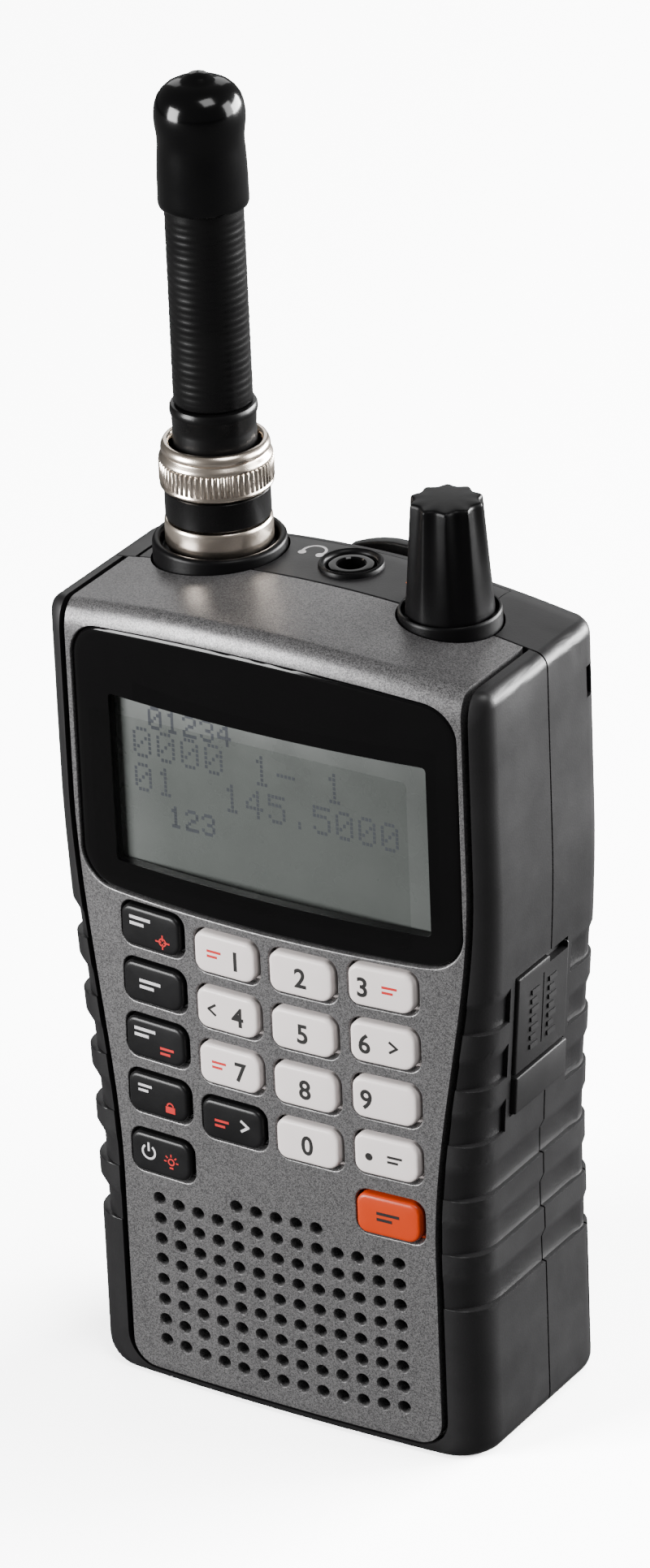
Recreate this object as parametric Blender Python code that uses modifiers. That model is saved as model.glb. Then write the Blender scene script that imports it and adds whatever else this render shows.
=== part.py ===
"""Handheld radio scanner: case, display, keypad, knob, removable antenna, battery bay and belt clip.

Frame: metres, +Z up, front face towards -Y, +X to the right of someone facing the front, z = 0 on the table.
Every size below is in millimetres and turned into metres by MM.
"""

import math

import bmesh
import bpy
from mathutils import Vector

MM = 0.001

# Case
BODY_H = 115.0
BODY_D = 32.5
HALF_W_TOP = 32.6
HALF_W_BOTTOM = 30.1
WAIST_LOW = 34.0
WAIST_HIGH = 86.0
FRONT_Y = -BODY_D / 2
REAR_Y = BODY_D / 2
SEAM_Y = 1.6
TOP_ARC_R = 180.0
TOP_CORNER_R = 7.0
BOTTOM_CORNER_R = 3.5
EDGE_SIDE = 4.0
EDGE_TOP = 3.6
EDGE_BOTTOM = 1.0
EDGE_DEPTH = 3.4
REAR_EDGE_SIDE = 5.0
REAR_EDGE_TOP = 2.5
REAR_EDGE_DEPTH = 4.0
BULGE_LOW = 0.0012
BULGE_HIGH = 0.0024
GAP = 0.3
SEAM_GAP = 0.15

# Front panel
PANEL_HALF_TOP = 29.8
PANEL_HALF_BOTTOM = 24.1
PANEL_LOW = 30.0
PANEL_HIGH = 86.0
PANEL_FOOT = 1.6
PANEL_CORNER_R = 3.5
PANEL_T = 1.8
PANEL_GROOVE = 0.9
CASE_WALL = 1.5

# Display
LENS_HALF = 28.9
LENS_FOOT = 72.4
LENS_HEAD = 111.6
LENS_CORNER_R = 5.0
LENS_T = 1.5
LENS_SINK = 0.25
WINDOW_HALF = 26.5
WINDOW_FOOT = 74.9
WINDOW_HEAD = 103.5
LCD_T = 1.8
LCD_Y = -12.6
BACKLIGHT_T = 1.4

# Keypad
KEY_W = 9.5
KEY_H = 5.8
KEY_CORNER_R = 1.5
KEY_HOLE_EXTRA = 0.4
KEY_PROUD = 0.6
KEY_FLANGE = 0.35
KEY_TRAVEL = 0.8
KEY_COLUMNS = (-17.6, -5.8, 5.8, 17.6)
KEY_ROWS = (67.6, 59.4, 51.2, 42.9, 34.0)
ROW_SMILE = 0.0029
MAT_T = 1.0

# Speaker grille
HOLE_PITCH = 3.1
HOLE_R = 0.85
GRILLE_COLUMNS = 13
GRILLE_ROWS = 8
GRILLE_TOP = 27.0
SPEAKER_Z = 16.0
SPEAKER_R = 13.0

# Ribs on the sides
RIB_COUNT = 6
RIB_FOOT = 22.9
RIB_PITCH = 8.2
RIB_DEPTH = 0.6
RIB_FLAT = 3.6
RIB_RAMP = 1.8

# Jack cover
COVER_Y0 = -7.2
COVER_Y1 = 5.6
COVER_FOOT = 49.4
COVER_FOLD = 54.9
COVER_HEAD = 69.5
COVER_INNER_X = 30.2
COVER_OUTER_X = 32.7

# Antenna and its bayonet
ANT_X = -18.6
ANT_Y = 6.3
COLLAR_R = 8.85
COLLAR_TOP = 116.2
SOCKET_R = 4.85
BAND_R = 7.1
RING_R = 7.5
SLEEVE_BORE_R = 6.05
BUSH_R = 5.5
WHIP_R = 5.2
CAP_R = 5.9
BAND_Z = 115.3
SLEEVE_Z = 119.4
RING_Z = 123.6
RING_TOP = 130.0
BUSH_TOP = 135.2
CAP_Z = 162.6
TIP_Z = 180.5
RING_SIDES = 32

# Knob
KNOB_X = 18.6
KNOB_Y = 2.4
KNOB_R = 5.9
KNOB_TOP_R = 4.85
KNOB_Z = 115.0
KNOB_TOP = 129.7
KNOB_FLUTES = 10
KNOB_COLLAR_R = 6.75
SHAFT_R = 3.0
KNOB_PUSH = 0.5

# Headphone jack
JACK_X = 0.4
JACK_Y = 8.0
JACK_RING_R = 4.35
JACK_NECK_R = 3.05
JACK_BORE_R = 1.8

# Top plate
PLATE_X0 = -18.6
PLATE_X1 = 21.0
PLATE_Y1 = 13.2
PLATE_T = 1.2

# Batteries
CELL_R = 7.2
CELL_L = 49.5
CELL_X = 7.5
CELL_Y = 6.7
CELL_Z = 5.4
TRAY_HALF = 15.9
TRAY_WALL = 1.0
DOOR_SEAM_Y = 12.9
DOOR_SHOULDER = 37.0
DOOR_TONGUE = 60.0
DOOR_TONGUE_HALF = 17.0
DOOR_WALL = 1.7

# Belt clip
CLIP_HALF = 8.5
CLIP_GAP = 4.6
CLIP_T = 1.9
CLIP_PIVOT_Z = 99.0
CLIP_SCREWS = (93.0, 105.0)
CLIP_FOOT = 56.0
CLIP_HEAD = 112.4

COLOURS = {
    "panel_paint": (0.17, 0.165, 0.17, 0.75, 0.38),
    "black_plastic": (0.028, 0.027, 0.028, 0.0, 0.55),
    "gloss_black": (0.01, 0.01, 0.011, 0.0, 0.12),
    "white_key": (0.75, 0.72, 0.69, 0.0, 0.4),
    "black_key": (0.012, 0.012, 0.013, 0.0, 0.45),
    "orange_key": (0.85, 0.25, 0.02, 0.0, 0.4),
    "rubber": (0.03, 0.03, 0.031, 0.0, 0.75),
    "nickel": (0.62, 0.56, 0.5, 1.0, 0.22),
    "lcd_glass": (0.24, 0.27, 0.26, 0.0, 0.2),
    "white_plastic": (0.7, 0.7, 0.68, 0.0, 0.5),
    "circuit_board": (0.02, 0.12, 0.05, 0.0, 0.5),
    "tin": (0.6, 0.6, 0.58, 1.0, 0.35),
    "cone_paper": (0.05, 0.05, 0.05, 0.0, 0.9),
    "cell_wrap": (0.04, 0.05, 0.12, 0.0, 0.35),
    "steel": (0.45, 0.45, 0.45, 1.0, 0.3),
}


def smoothstep(low, high, value):
    """Goes from 0 at low to 1 at high with no kink."""
    t = min(max((value - low) / (high - low), 0.0), 1.0)
    return t * t * (3.0 - 2.0 * t)


def half_width(z):
    """Half the case's width at height z."""
    return HALF_W_BOTTOM + (HALF_W_TOP - HALF_W_BOTTOM) * smoothstep(WAIST_LOW, WAIST_HIGH, z)


def panel_half(z):
    """Half the front panel's width at height z."""
    return PANEL_HALF_BOTTOM + (PANEL_HALF_TOP - PANEL_HALF_BOTTOM) * smoothstep(PANEL_LOW, PANEL_HIGH, z)


def top_at(x):
    """Height of the arched top at x."""
    return BODY_H - x * x / (2.0 * TOP_ARC_R)


def bulge(x, z):
    """How far the convex front stands back at x, from its own middle line."""
    return (BULGE_LOW + (BULGE_HIGH - BULGE_LOW) * smoothstep(30.0, 80.0, z)) * x * x


def front_at(x, z):
    """y of the panel's outer face at x and z."""
    return FRONT_Y + bulge(x, z)


def bent(x, y, z):
    """A point of a flat-fronted shape moved onto the convex front."""
    flat = SEAM_Y - 1.0
    reach = (flat - y) / (flat - FRONT_Y - EDGE_DEPTH)
    return (x, y + bulge(x, z) * min(max(reach, 0.0), 1.0), z)


def collection(name, hidden=False):
    """A new collection in the scene, hidden from renders if it holds cutters."""
    made = bpy.data.collections.new(name)
    bpy.context.scene.collection.children.link(made)
    made.hide_render = hidden
    return made


def clear_scene():
    """Removes every object the file opened with."""
    for obj in list(bpy.data.objects):
        bpy.data.objects.remove(obj, do_unlink=True)


def material(slot):
    """The Principled material of a slot, made once."""
    found = bpy.data.materials.get(slot)
    if found:
        return found
    red, green, blue, metallic, roughness = COLOURS[slot]
    made = bpy.data.materials.new(slot)
    made.use_nodes = True
    shader = made.node_tree.nodes["Principled BSDF"]
    shader.inputs["Base Color"].default_value = (red, green, blue, 1.0)
    shader.inputs["Metallic"].default_value = metallic
    shader.inputs["Roughness"].default_value = roughness
    made.diffuse_color = (red, green, blue, 1.0)
    return made


def mesh_object(name, verts, faces, slot=None, origin=(0.0, 0.0, 0.0)):
    """A mesh from points in millimetres. With no slot it is a cutter."""
    data = bpy.data.meshes.new(name)
    start = Vector(origin)
    data.from_pydata([(Vector(v) - start) * MM for v in verts], [], faces)
    work = bmesh.new()
    work.from_mesh(data)
    bmesh.ops.recalc_face_normals(work, faces=work.faces)
    work.to_mesh(data)
    work.free()
    obj = bpy.data.objects.new(name, data)
    obj.location = start * MM
    if slot is None:
        CUTTERS.objects.link(obj)
        obj.hide_render = True
        obj.display_type = "WIRE"
        return obj
    PARTS.objects.link(obj)
    data.materials.append(material(slot))
    data.shade_smooth()
    data.set_sharp_from_angle(angle=math.radians(32.0))
    return obj


def loft(name, rings, slot=None, origin=(0.0, 0.0, 0.0)):
    """A closed body through rings of equal length, capped at both ends."""
    count = len(rings[0])
    verts = [point for ring in rings for point in ring]
    faces = [tuple(range(count)), tuple(range(len(verts) - count, len(verts)))]
    for level in range(len(rings) - 1):
        low = level * count
        for i in range(count):
            j = (i + 1) % count
            faces.append((low + i, low + j, low + count + j, low + count + i))
    return mesh_object(name, verts, faces, slot, origin)


def circle(cx, cy, z, radius, sides, turn=0.0):
    """A ring of points round a vertical axis."""
    steps = [turn + 2.0 * math.pi * i / sides for i in range(sides)]
    return [(cx + radius * math.cos(a), cy + radius * math.sin(a), z) for a in steps]


def lathe(name, cx, cy, profile, sides, slot=None):
    """A turned body round a vertical axis, from (radius, height) pairs that run up the outside."""
    rings = [circle(cx, cy, z, radius, sides) for radius, z in profile]
    return loft(name, rings, slot, (cx, cy, profile[0][1]))


def tube(name, cx, cy, outside, inside, sides, slot=None):
    """A turned body with a hole right through it: the outside pairs run up, the inside pairs run down."""
    rings = [circle(cx, cy, z, radius, sides) for radius, z in list(outside) + list(inside)]
    verts = [point for ring in rings for point in ring]
    faces = []
    for level in range(len(rings)):
        low = level * sides
        high = (level + 1) % len(rings) * sides
        for i in range(sides):
            j = (i + 1) % sides
            faces.append((low + i, low + j, high + j, high + i))
    return mesh_object(name, verts, faces, slot, (cx, cy, outside[0][1]))


def box(name, low, high, slot=None):
    """An upright box between two corners."""
    (x0, y0, z0), (x1, y1, z1) = low, high
    rings = [[(x0, y0, z), (x1, y0, z), (x1, y1, z), (x0, y1, z)] for z in (z0, z1)]
    centre = tuple((a + b) / 2.0 for a, b in zip(low, high))
    return loft(name, rings, slot, centre)


def wall(name, outline, y0, y1, slot=None):
    """A slab with an outline in x and z, from y0 back to y1."""
    return loft(name, [[(x, y, z) for x, z in outline] for y in (y0, y1)], slot, (0.0, (y0 + y1) / 2, outline[0][1]))


def set_origin(obj, point):
    """Moves the object's origin to a joint's axis and leaves its shape where it is."""
    shift = Vector(point) * MM - obj.location
    for vertex in obj.data.vertices:
        vertex.co -= shift
    obj.location += shift


def cut(target, cutter, operation="DIFFERENCE"):
    """Adds an exact Boolean to the target."""
    modifier = target.modifiers.new(cutter.name, "BOOLEAN")
    modifier.object = cutter
    modifier.operation = operation
    modifier.solver = "EXACT"
    return target


def add(target, other):
    """Joins a helper shape to the target."""
    return cut(target, other, "UNION")


def bevel(target, width, segments=2, angle=35.0):
    """Rounds the target's sharp edges."""
    modifier = target.modifiers.new("edge", "BEVEL")
    modifier.width = width * MM
    modifier.segments = segments
    modifier.limit_method = "ANGLE"
    modifier.angle_limit = math.radians(angle)
    return target


def arc(cx, cz, radius, start, end, steps):
    """Points along an arc in degrees, both ends included."""
    angles = [math.radians(start + (end - start) * i / steps) for i in range(steps + 1)]
    return [(cx + radius * math.cos(a), cz + radius * math.sin(a)) for a in angles]


def mirrored(right):
    """A closed outline from its right half, which runs from the bottom up."""
    return right + [(-x, z) for x, z in reversed(right)]


def case_outline():
    """The case seen from the front, as (x, z)."""
    low = half_width(0.0) - BOTTOM_CORNER_R
    right = [(low * 0.5, 0.0)] + arc(low, BOTTOM_CORNER_R, BOTTOM_CORNER_R, -90.0, 0.0, 3)
    right += [(half_width(z), z) for z in (34.0, 44.0, 54.0, 64.0, 75.0, 86.0)]
    shoulder = HALF_W_TOP - TOP_CORNER_R
    centre = top_at(shoulder) - TOP_CORNER_R
    right += arc(shoulder, centre, TOP_CORNER_R, 0.0, 82.0, 5)
    right += [(x, top_at(x)) for x in (17.0, 6.0)]
    return mirrored(right)


def shrunk(outline, side, top, bottom):
    """The case outline drawn in by a different amount at its sides, top and bottom."""
    across = 1.0 - side / HALF_W_TOP
    up = (BODY_H - top - bottom) / BODY_H
    return [(x * across, bottom + z * up) for x, z in outline]


def case_half(name, inset, slot=None, front=True, bottom=None, end=SEAM_Y, fine=True):
    """The front or rear half of the case as a solid, drawn in all round by inset."""
    outline = case_outline()
    bottom = inset if bottom is None else bottom
    edge_side, edge_top, depth, face, inward = EDGE_SIDE, EDGE_TOP, EDGE_DEPTH, FRONT_Y, 1.0
    if not front:
        edge_side, edge_top, depth, face, inward = REAR_EDGE_SIDE, REAR_EDGE_TOP, REAR_EDGE_DEPTH, REAR_Y, -1.0
    rings = []
    for scale in (0.2, 0.5, 0.78) if fine else (0.3, 0.7):
        flat = shrunk(outline, inset + edge_side, inset + edge_top, bottom + EDGE_BOTTOM)
        middle = BODY_H / 2
        rings.append([(x * scale, face + inward * inset, middle + (z - middle) * scale) for x, z in flat])
    for step in (0, 1, 2, 3, 4) if fine else (0, 2, 4):
        angle = math.radians(22.5 * step)
        keep = 1.0 - math.sin(angle)
        y = face + inward * (inset + depth * (1.0 - math.cos(angle)))
        ring = shrunk(outline, inset + edge_side * keep, inset + edge_top * keep, bottom + EDGE_BOTTOM * keep)
        rings.append([(x, y, z) for x, z in ring])
    last = shrunk(outline, inset, inset, bottom)
    rings += [[(x, y, z) for x, z in last] for y in ((face + inward * 9.0), end)]
    if front:
        rings = [[bent(*point) for point in ring] for ring in rings]
        level = sum(y for _, y, _ in rings[0]) / len(rings[0])
        rings[0] = [(x, level, z) for x, _, z in rings[0]]
    return loft(name, rings, slot)


def panel_outline(grow, foot):
    """The front panel's outline, grown at the sides, from its foot to above the case."""
    radius = PANEL_CORNER_R + grow
    low = PANEL_HALF_BOTTOM + grow - radius
    right = arc(low, foot + radius, radius, -90.0, 0.0, 4)
    right += [(panel_half(z) + grow, z) for z in (20.0, 30.0, 38.0, 46.0, 54.0, 62.0, 70.0, 78.0, 86.0, BODY_H + 5.0)]
    return mirrored(right)


def lens_outline(grow=0.0):
    """The display lens, with an arched head and a foot that follows the rows of keys."""
    radius = LENS_CORNER_R + grow
    edge = LENS_HALF + grow
    right = [(x, LENS_FOOT - grow + 0.0018 * x * x) for x in (6.0, 16.0)]
    right += arc(edge - radius, LENS_FOOT + 1.1 - grow + radius, radius, -86.0, 0.0, 5)
    right += arc(edge - radius, LENS_HEAD - 1.3 + grow - radius, radius, 0.0, 84.0, 5)
    right += [(x, LENS_HEAD + grow - 0.0022 * x * x) for x in (16.0, 6.0)]
    return mirrored(right)


def key_outline(cx, cz, grow):
    """A keycap's rounded rectangle, with the lower right corner cut back further than the rest."""
    half_w = KEY_W / 2 + grow
    half_h = KEY_H / 2 + grow
    outline = []
    for sx, sz, start in ((1, -1, -90.0), (1, 1, 0.0), (-1, 1, 90.0), (-1, -1, 180.0)):
        radius = KEY_CORNER_R + max(grow, 0.0) + (0.5 if (sx, sz) == (1, -1) and grow <= 0.0 else 0.0)
        outline += arc(cx + sx * (half_w - radius), cz + sz * (half_h - radius), radius, start, start + 90.0, 2)
    return outline


def on_front(outline, offset):
    """An outline laid on the front face, set back by offset."""
    return [(x, front_at(x, z) + offset, z) for x, z in outline]


def key_places():
    """(name, material, x, z) of every key."""
    black = ("hold", "scan", "search", "lockout", "power")
    places = [(f"key_{name}", "black_key", KEY_COLUMNS[0], KEY_ROWS[row]) for row, name in enumerate(black)]
    for digit in range(1, 10):
        row, column = divmod(digit - 1, 3)
        places.append((f"key_{digit}", "white_key", KEY_COLUMNS[1 + column], KEY_ROWS[row]))
    places.append(("key_enter", "black_key", KEY_COLUMNS[1], KEY_ROWS[3]))
    places.append(("key_0", "white_key", KEY_COLUMNS[2], KEY_ROWS[3]))
    places.append(("key_clear", "white_key", KEY_COLUMNS[3], KEY_ROWS[3]))
    places.append(("key_function", "orange_key", KEY_COLUMNS[3], KEY_ROWS[4]))
    return [(name, slot, x, z + ROW_SMILE * x * x) for name, slot, x, z in places]


def merged(name, shapes):
    """One cutter made of several shapes that don't touch, given as (verts, faces)."""
    verts = []
    faces = []
    for points, polygons in shapes:
        start = len(verts)
        verts += points
        faces += [tuple(start + i for i in polygon) for polygon in polygons]
    return mesh_object(name, verts, faces)


def prism(outline, y0, y1):
    """(verts, faces) of a slab with an outline in x and z."""
    count = len(outline)
    verts = [(x, y, z) for y in (y0, y1) for x, z in outline]
    faces = [tuple(range(count)), tuple(range(count, 2 * count))]
    faces += [(i, (i + 1) % count, count + (i + 1) % count, count + i) for i in range(count)]
    return verts, faces


def grille_centres():
    """(x, z) of each speaker hole: a full block and a short row above its middle."""
    half = GRILLE_COLUMNS // 2
    for row in range(-1, GRILLE_ROWS):
        for column in range(-half, half + 1):
            if row < 0 and abs(column) > 2:
                continue
            x = column * HOLE_PITCH
            yield x, GRILLE_TOP - row * HOLE_PITCH + ROW_SMILE * x * x


def upright_cylinder(name, cx, cy, radius, z0, z1, sides=32):
    """A cutter that drills downwards."""
    return lathe(name, cx, cy, ((radius, z0), (radius, z1)), sides)


def rib_cutter():
    """The stepped grip notches on both sides, as one cutter."""
    shapes = []
    for rib in range(RIB_COUNT):
        foot = RIB_FOOT + rib * RIB_PITCH
        levels = ((2.0, 0.0), (-RIB_DEPTH, 0.0), (-RIB_DEPTH, RIB_FLAT), (0.1, RIB_FLAT + RIB_RAMP))
        levels += ((2.0, RIB_FLAT + RIB_RAMP),)
        right = [(half_width(foot + dz) + dx, foot + dz) for dx, dz in levels]
        shapes.append(prism(right, FRONT_Y - 2.0, REAR_Y + 2.0))
        shapes.append(prism([(-x, z) for x, z in right], FRONT_Y - 2.0, REAR_Y + 2.0))
    return merged("cut_ribs", shapes)


def shared_cutters():
    """The cutters that more than one piece of the case uses."""
    cutters = {
        "ribs": rib_cutter(),
        "collar": upright_cylinder("cut_collar", ANT_X, ANT_Y, COLLAR_R + GAP, 109.0, 120.0),
        "knob": upright_cylinder("cut_knob_collar", KNOB_X, KNOB_Y, KNOB_COLLAR_R + GAP, 109.0, 120.0),
        "cover": box(
            "cut_cover",
            (COVER_INNER_X, COVER_Y0 - GAP, COVER_FOOT - GAP),
            (HALF_W_TOP + 3.0, COVER_Y1 + GAP, COVER_HEAD + GAP),
        ),
        "ports": merged(
            "cut_ports",
            [
                prism([(26.0, 59.0), (33.0, 59.0), (33.0, 65.6), (26.0, 65.6)], COVER_Y0 + 1.4, -0.6),
                prism([(26.0, 59.0), (33.0, 59.0), (33.0, 65.6), (26.0, 65.6)], 0.1, COVER_Y1 - 0.3),
            ],
        ),
    }
    return cutters


def build_front_panel(cutters):
    """Painted face that carries the holes and wraps over the top to the case seam."""
    panel = case_half("front_panel", 0.0, "panel_paint", end=SEAM_Y - SEAM_GAP)
    outline = panel_outline(0.0, PANEL_FOOT)
    cut(panel, wall("keep_panel", outline, FRONT_Y - 3.0, SEAM_Y + 3.0), "INTERSECT")
    cut(panel, case_half("cut_panel_back", PANEL_T, bottom=-2.0, end=SEAM_Y + 2.0, fine=False))
    cut(panel, wall("cut_lens", lens_outline(GAP), FRONT_Y - 3.0, FRONT_Y + 6.0))
    holes = [prism(key_outline(x, z, KEY_HOLE_EXTRA), FRONT_Y - 3.0, FRONT_Y + 5.0) for _, _, x, z in key_places()]
    cut(panel, merged("cut_key_holes", holes))
    dots = []
    for x, z in grille_centres():
        dots.append(prism(arc(x, z, HOLE_R, 30.0, 330.0, 5), FRONT_Y - 3.0, FRONT_Y + 5.0))
    cut(panel, merged("cut_grille", dots))
    cut(panel, cutters["collar"])
    cut(panel, cutters["knob"])
    return panel


def build_front_case(cutters):
    """Black front cabinet: the two grips and the wall behind the painted panel."""
    case = case_half("front_case", 0.0, "black_plastic", end=SEAM_Y - SEAM_GAP)
    pocket = wall("cut_pocket", panel_outline(PANEL_GROOVE, PANEL_FOOT - 0.35), FRONT_Y - 3.0, SEAM_Y + 3.0)
    cut(pocket, case_half("cut_pocket_back", PANEL_T + GAP, bottom=-2.0, end=SEAM_Y + 4.0, fine=False))
    cut(case, pocket)
    hollow = PANEL_T + GAP + CASE_WALL
    cut(case, case_half("cut_front_hollow", hollow, bottom=2.6, end=SEAM_Y + 3.0, fine=False))
    window = mirrored([(20.6, 3.4), (20.6, 30.0), (23.6, 31.0), (23.9, 72.6)])
    cut(case, wall("cut_keypad_window", window, FRONT_Y - 3.0, FRONT_Y + 6.5))
    view = [(-WINDOW_HALF, WINDOW_FOOT), (WINDOW_HALF, WINDOW_FOOT), (WINDOW_HALF, WINDOW_HEAD)]
    view += [(-WINDOW_HALF, WINDOW_HEAD)]
    cut(case, wall("cut_display_window", view, FRONT_Y - 3.0, FRONT_Y + 6.5))
    for key in ("ribs", "collar", "knob", "cover", "ports"):
        cut(case, cutters[key])
    return case


def build_display(cutters):
    """Lens, liquid-crystal glass and the frame that lights it."""
    lens = case_half("display_lens", LENS_SINK, "gloss_black")
    cut(lens, wall("keep_lens", lens_outline(), FRONT_Y - 3.0, FRONT_Y + 6.0), "INTERSECT")
    cut(lens, case_half("cut_lens_back", LENS_SINK + LENS_T, end=SEAM_Y + 3.0, fine=False))
    half = WINDOW_HALF - 0.7
    low, high = WINDOW_FOOT + 0.7, WINDOW_HEAD - 0.7
    glass = box("lcd_glass", (-half, LCD_Y, low), (half, LCD_Y + LCD_T, high), "lcd_glass")
    back = LCD_Y + LCD_T + GAP
    frame = box("lcd_backlight", (-half, back, low), (half, back + BACKLIGHT_T, high), "white_plastic")
    return lens, glass, frame


def build_rear_case(cutters):
    """Black rear cabinet, open at the front and at the battery door."""
    case = case_half("rear_case", 0.0, "black_plastic", front=False, end=SEAM_Y + SEAM_GAP)
    cut(case, case_half("cut_rear_hollow", 2.1, front=False, end=SEAM_Y - 3.0, fine=False))
    cut(case, cutters["plate_pocket"])
    cut(case, cutters["door_pocket"])
    cut(case, upright_cylinder("cut_rear_jack", JACK_X, JACK_Y, JACK_NECK_R + GAP, 109.0, 120.0, 24))
    slot_side = box("cut_strap_side", (28.0, 11.2, 101.9), (36.0, 13.0, 106.3))
    slot_rear = box("cut_strap_rear", (26.4, 11.2, 101.9), (28.4, 18.0, 106.3))
    cut(case, slot_side)
    cut(case, slot_rear)
    for key in ("ribs", "collar", "knob", "cover", "ports"):
        cut(case, cutters[key])
    for index, z in enumerate(CLIP_SCREWS):
        cut(case, lying_cylinder(f"cut_clip_hole_{index}", 0.0, z, 1.25, REAR_Y - 4.0, REAR_Y + 2.0))
    return case


def lying_cylinder(name, cx, cz, radius, y0, y1, sides=16, slot=None):
    """A round bar that runs front to back."""
    outline = arc(cx, cz, radius, 0.0, 360.0 - 360.0 / sides, sides - 1)
    return wall(name, outline, y0, y1, slot)


def build_top_plate(cutters):
    """Inset strip round the headphone jack."""
    plate = case_half("top_plate", 0.0, "black_plastic", front=False, end=SEAM_Y + SEAM_GAP + 0.1)
    keep = box("keep_plate", (PLATE_X0, SEAM_Y - 1.0, 100.0), (PLATE_X1, PLATE_Y1, 120.0))
    cut(plate, keep, "INTERSECT")
    cut(plate, case_half("cut_plate_back", PLATE_T, front=False, end=SEAM_Y - 3.0, fine=False))
    ring = lathe("jack_ring", JACK_X, JACK_Y, ((JACK_RING_R, 114.2), (JACK_RING_R, 115.2), (3.9, 115.6)), 32)
    add(plate, ring)
    cut(plate, upright_cylinder("cut_jack", JACK_X, JACK_Y, JACK_NECK_R + GAP, 109.0, 120.0, 32))
    cut(plate, cutters["collar"])
    cut(plate, cutters["knob"])
    return plate


def plate_pocket():
    """Where the top plate sits in the rear case."""
    grow = SEAM_GAP
    low = (PLATE_X0 - grow, SEAM_Y - 2.0, 100.0)
    pocket = box("cut_plate_pocket", low, (PLATE_X1 + grow, PLATE_Y1 + grow, 120.0))
    cut(pocket, case_half("cut_pocket_floor", PLATE_T + 0.2, front=False, end=SEAM_Y - 4.0, fine=False))
    return pocket


def door_region(name, grow):
    """The rear corner of the case that the battery door takes."""
    high = DOOR_SHOULDER + grow
    half = DOOR_TONGUE_HALF + grow
    outline = [(-40.0, -2.0), (40.0, -2.0), (40.0, high), (half, high)]
    outline += [(half, DOOR_TONGUE + grow), (-half, DOOR_TONGUE + grow), (-half, high), (-40.0, high)]
    return wall(name, outline, DOOR_SEAM_Y - grow, REAR_Y + 3.0)


def build_battery_door(cutters):
    """Cover over the cells, wrapped round both rear edges of the case."""
    door = case_half("battery_door", 0.0, "black_plastic", front=False, end=SEAM_Y + 1.0)
    cut(door, door_region("keep_door", 0.0), "INTERSECT")
    cut(door, case_half("cut_door_back", DOOR_WALL, front=False, end=SEAM_Y - 3.0, fine=False))
    cut(door, cutters["ribs"])
    grip = [
        prism([(-6.0, z), (6.0, z), (6.0, z + 0.9), (-6.0, z + 0.9)], REAR_Y - 0.5, REAR_Y + 2.0)
        for z in (47.0, 49.2, 51.4, 53.6)
    ]
    cut(door, merged("cut_door_grip", grip))
    return door


def build_keys():
    """Eighteen caps, each with a hidden flange that keeps it behind the panel."""
    for name, slot, x, z in key_places():
        back = PANEL_T + GAP
        levels = (
            (KEY_FLANGE + KEY_HOLE_EXTRA, back + 0.5),
            (KEY_FLANGE + KEY_HOLE_EXTRA, back),
            (0.0, back),
            (0.0, -KEY_PROUD * 0.5),
            (-0.45, -KEY_PROUD),
        )
        rings = [on_front(key_outline(x, z, min(grow, 0.0)), offset) for grow, offset in levels]
        for index, (grow, offset) in enumerate(levels):
            if grow > 0.0:
                rings[index] = on_front(key_outline(x, z, grow), offset)
        loft(name, rings, slot, (x, front_at(x, z), z))


def build_keypad_mat():
    """Rubber sheet behind the keys, with a dome under each."""
    start = PANEL_T + GAP + 0.5 + KEY_TRAVEL + 0.2
    outline = [(-21.9, 30.9), (21.9, 30.9), (22.3, 71.9), (-22.3, 71.9)]
    mat = wall("keypad_mat", outline, FRONT_Y + start + 1.3, FRONT_Y + start + 1.3 + MAT_T, "rubber")
    domes = []
    for _, _, x, z in key_places():
        domes.append(prism(arc(x, z, 1.7, 0.0, 300.0, 5), FRONT_Y + start + 1.9, FRONT_Y + start + 3.3))
    for index, (verts, faces) in enumerate(domes):
        add(mat, merged(f"dome_{index}", [(verts, faces)]))
    return mat


def build_board_and_speaker():
    """Circuit board, its shield can, and the speaker behind the grille."""
    board = box("main_board", (-26.0, -7.6, 31.2), (26.0, -6.4, 105.5), "circuit_board")
    can = box("rf_shield", (-24.0, -6.0, 62.0), (2.0, -2.6, 98.0), "tin")
    cut(can, box("cut_shield", (-23.5, -7.0, 62.5), (1.5, -3.1, 97.5)))
    rim = SPEAKER_R
    basket = lying_tube("speaker_basket", 0.0, SPEAKER_Z, ((rim, -11.6), (rim, -10.4), (8.0, -7.2), (8.0, -4.0)),
                        ((6.4, -4.0), (6.4, -6.8), (rim - 1.4, -10.4), (rim - 1.4, -11.6)), "steel")
    magnet = lying_cylinder("speaker_magnet", 0.0, SPEAKER_Z, 6.1, -7.9, -3.4, 24, "steel")
    cone = cone_shape("speaker_cone", 0.0, SPEAKER_Z)
    return board, can, basket, magnet, cone


def lying_tube(name, cx, cz, outside, inside, slot, sides=24):
    """A turned body with a hole through it whose axis runs front to back, from (radius, y) pairs."""
    steps = [2.0 * math.pi * i / sides for i in range(sides)]
    rings = [[(cx + r * math.cos(a), y, cz + r * math.sin(a)) for a in steps] for r, y in outside + inside]
    verts = [point for ring in rings for point in ring]
    faces = []
    for level in range(len(rings)):
        low = level * sides
        high = (level + 1) % len(rings) * sides
        faces += [(low + i, low + (i + 1) % sides, high + (i + 1) % sides, high + i) for i in range(sides)]
    return mesh_object(name, verts, faces, slot, (cx, outside[0][1], cz))


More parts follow.
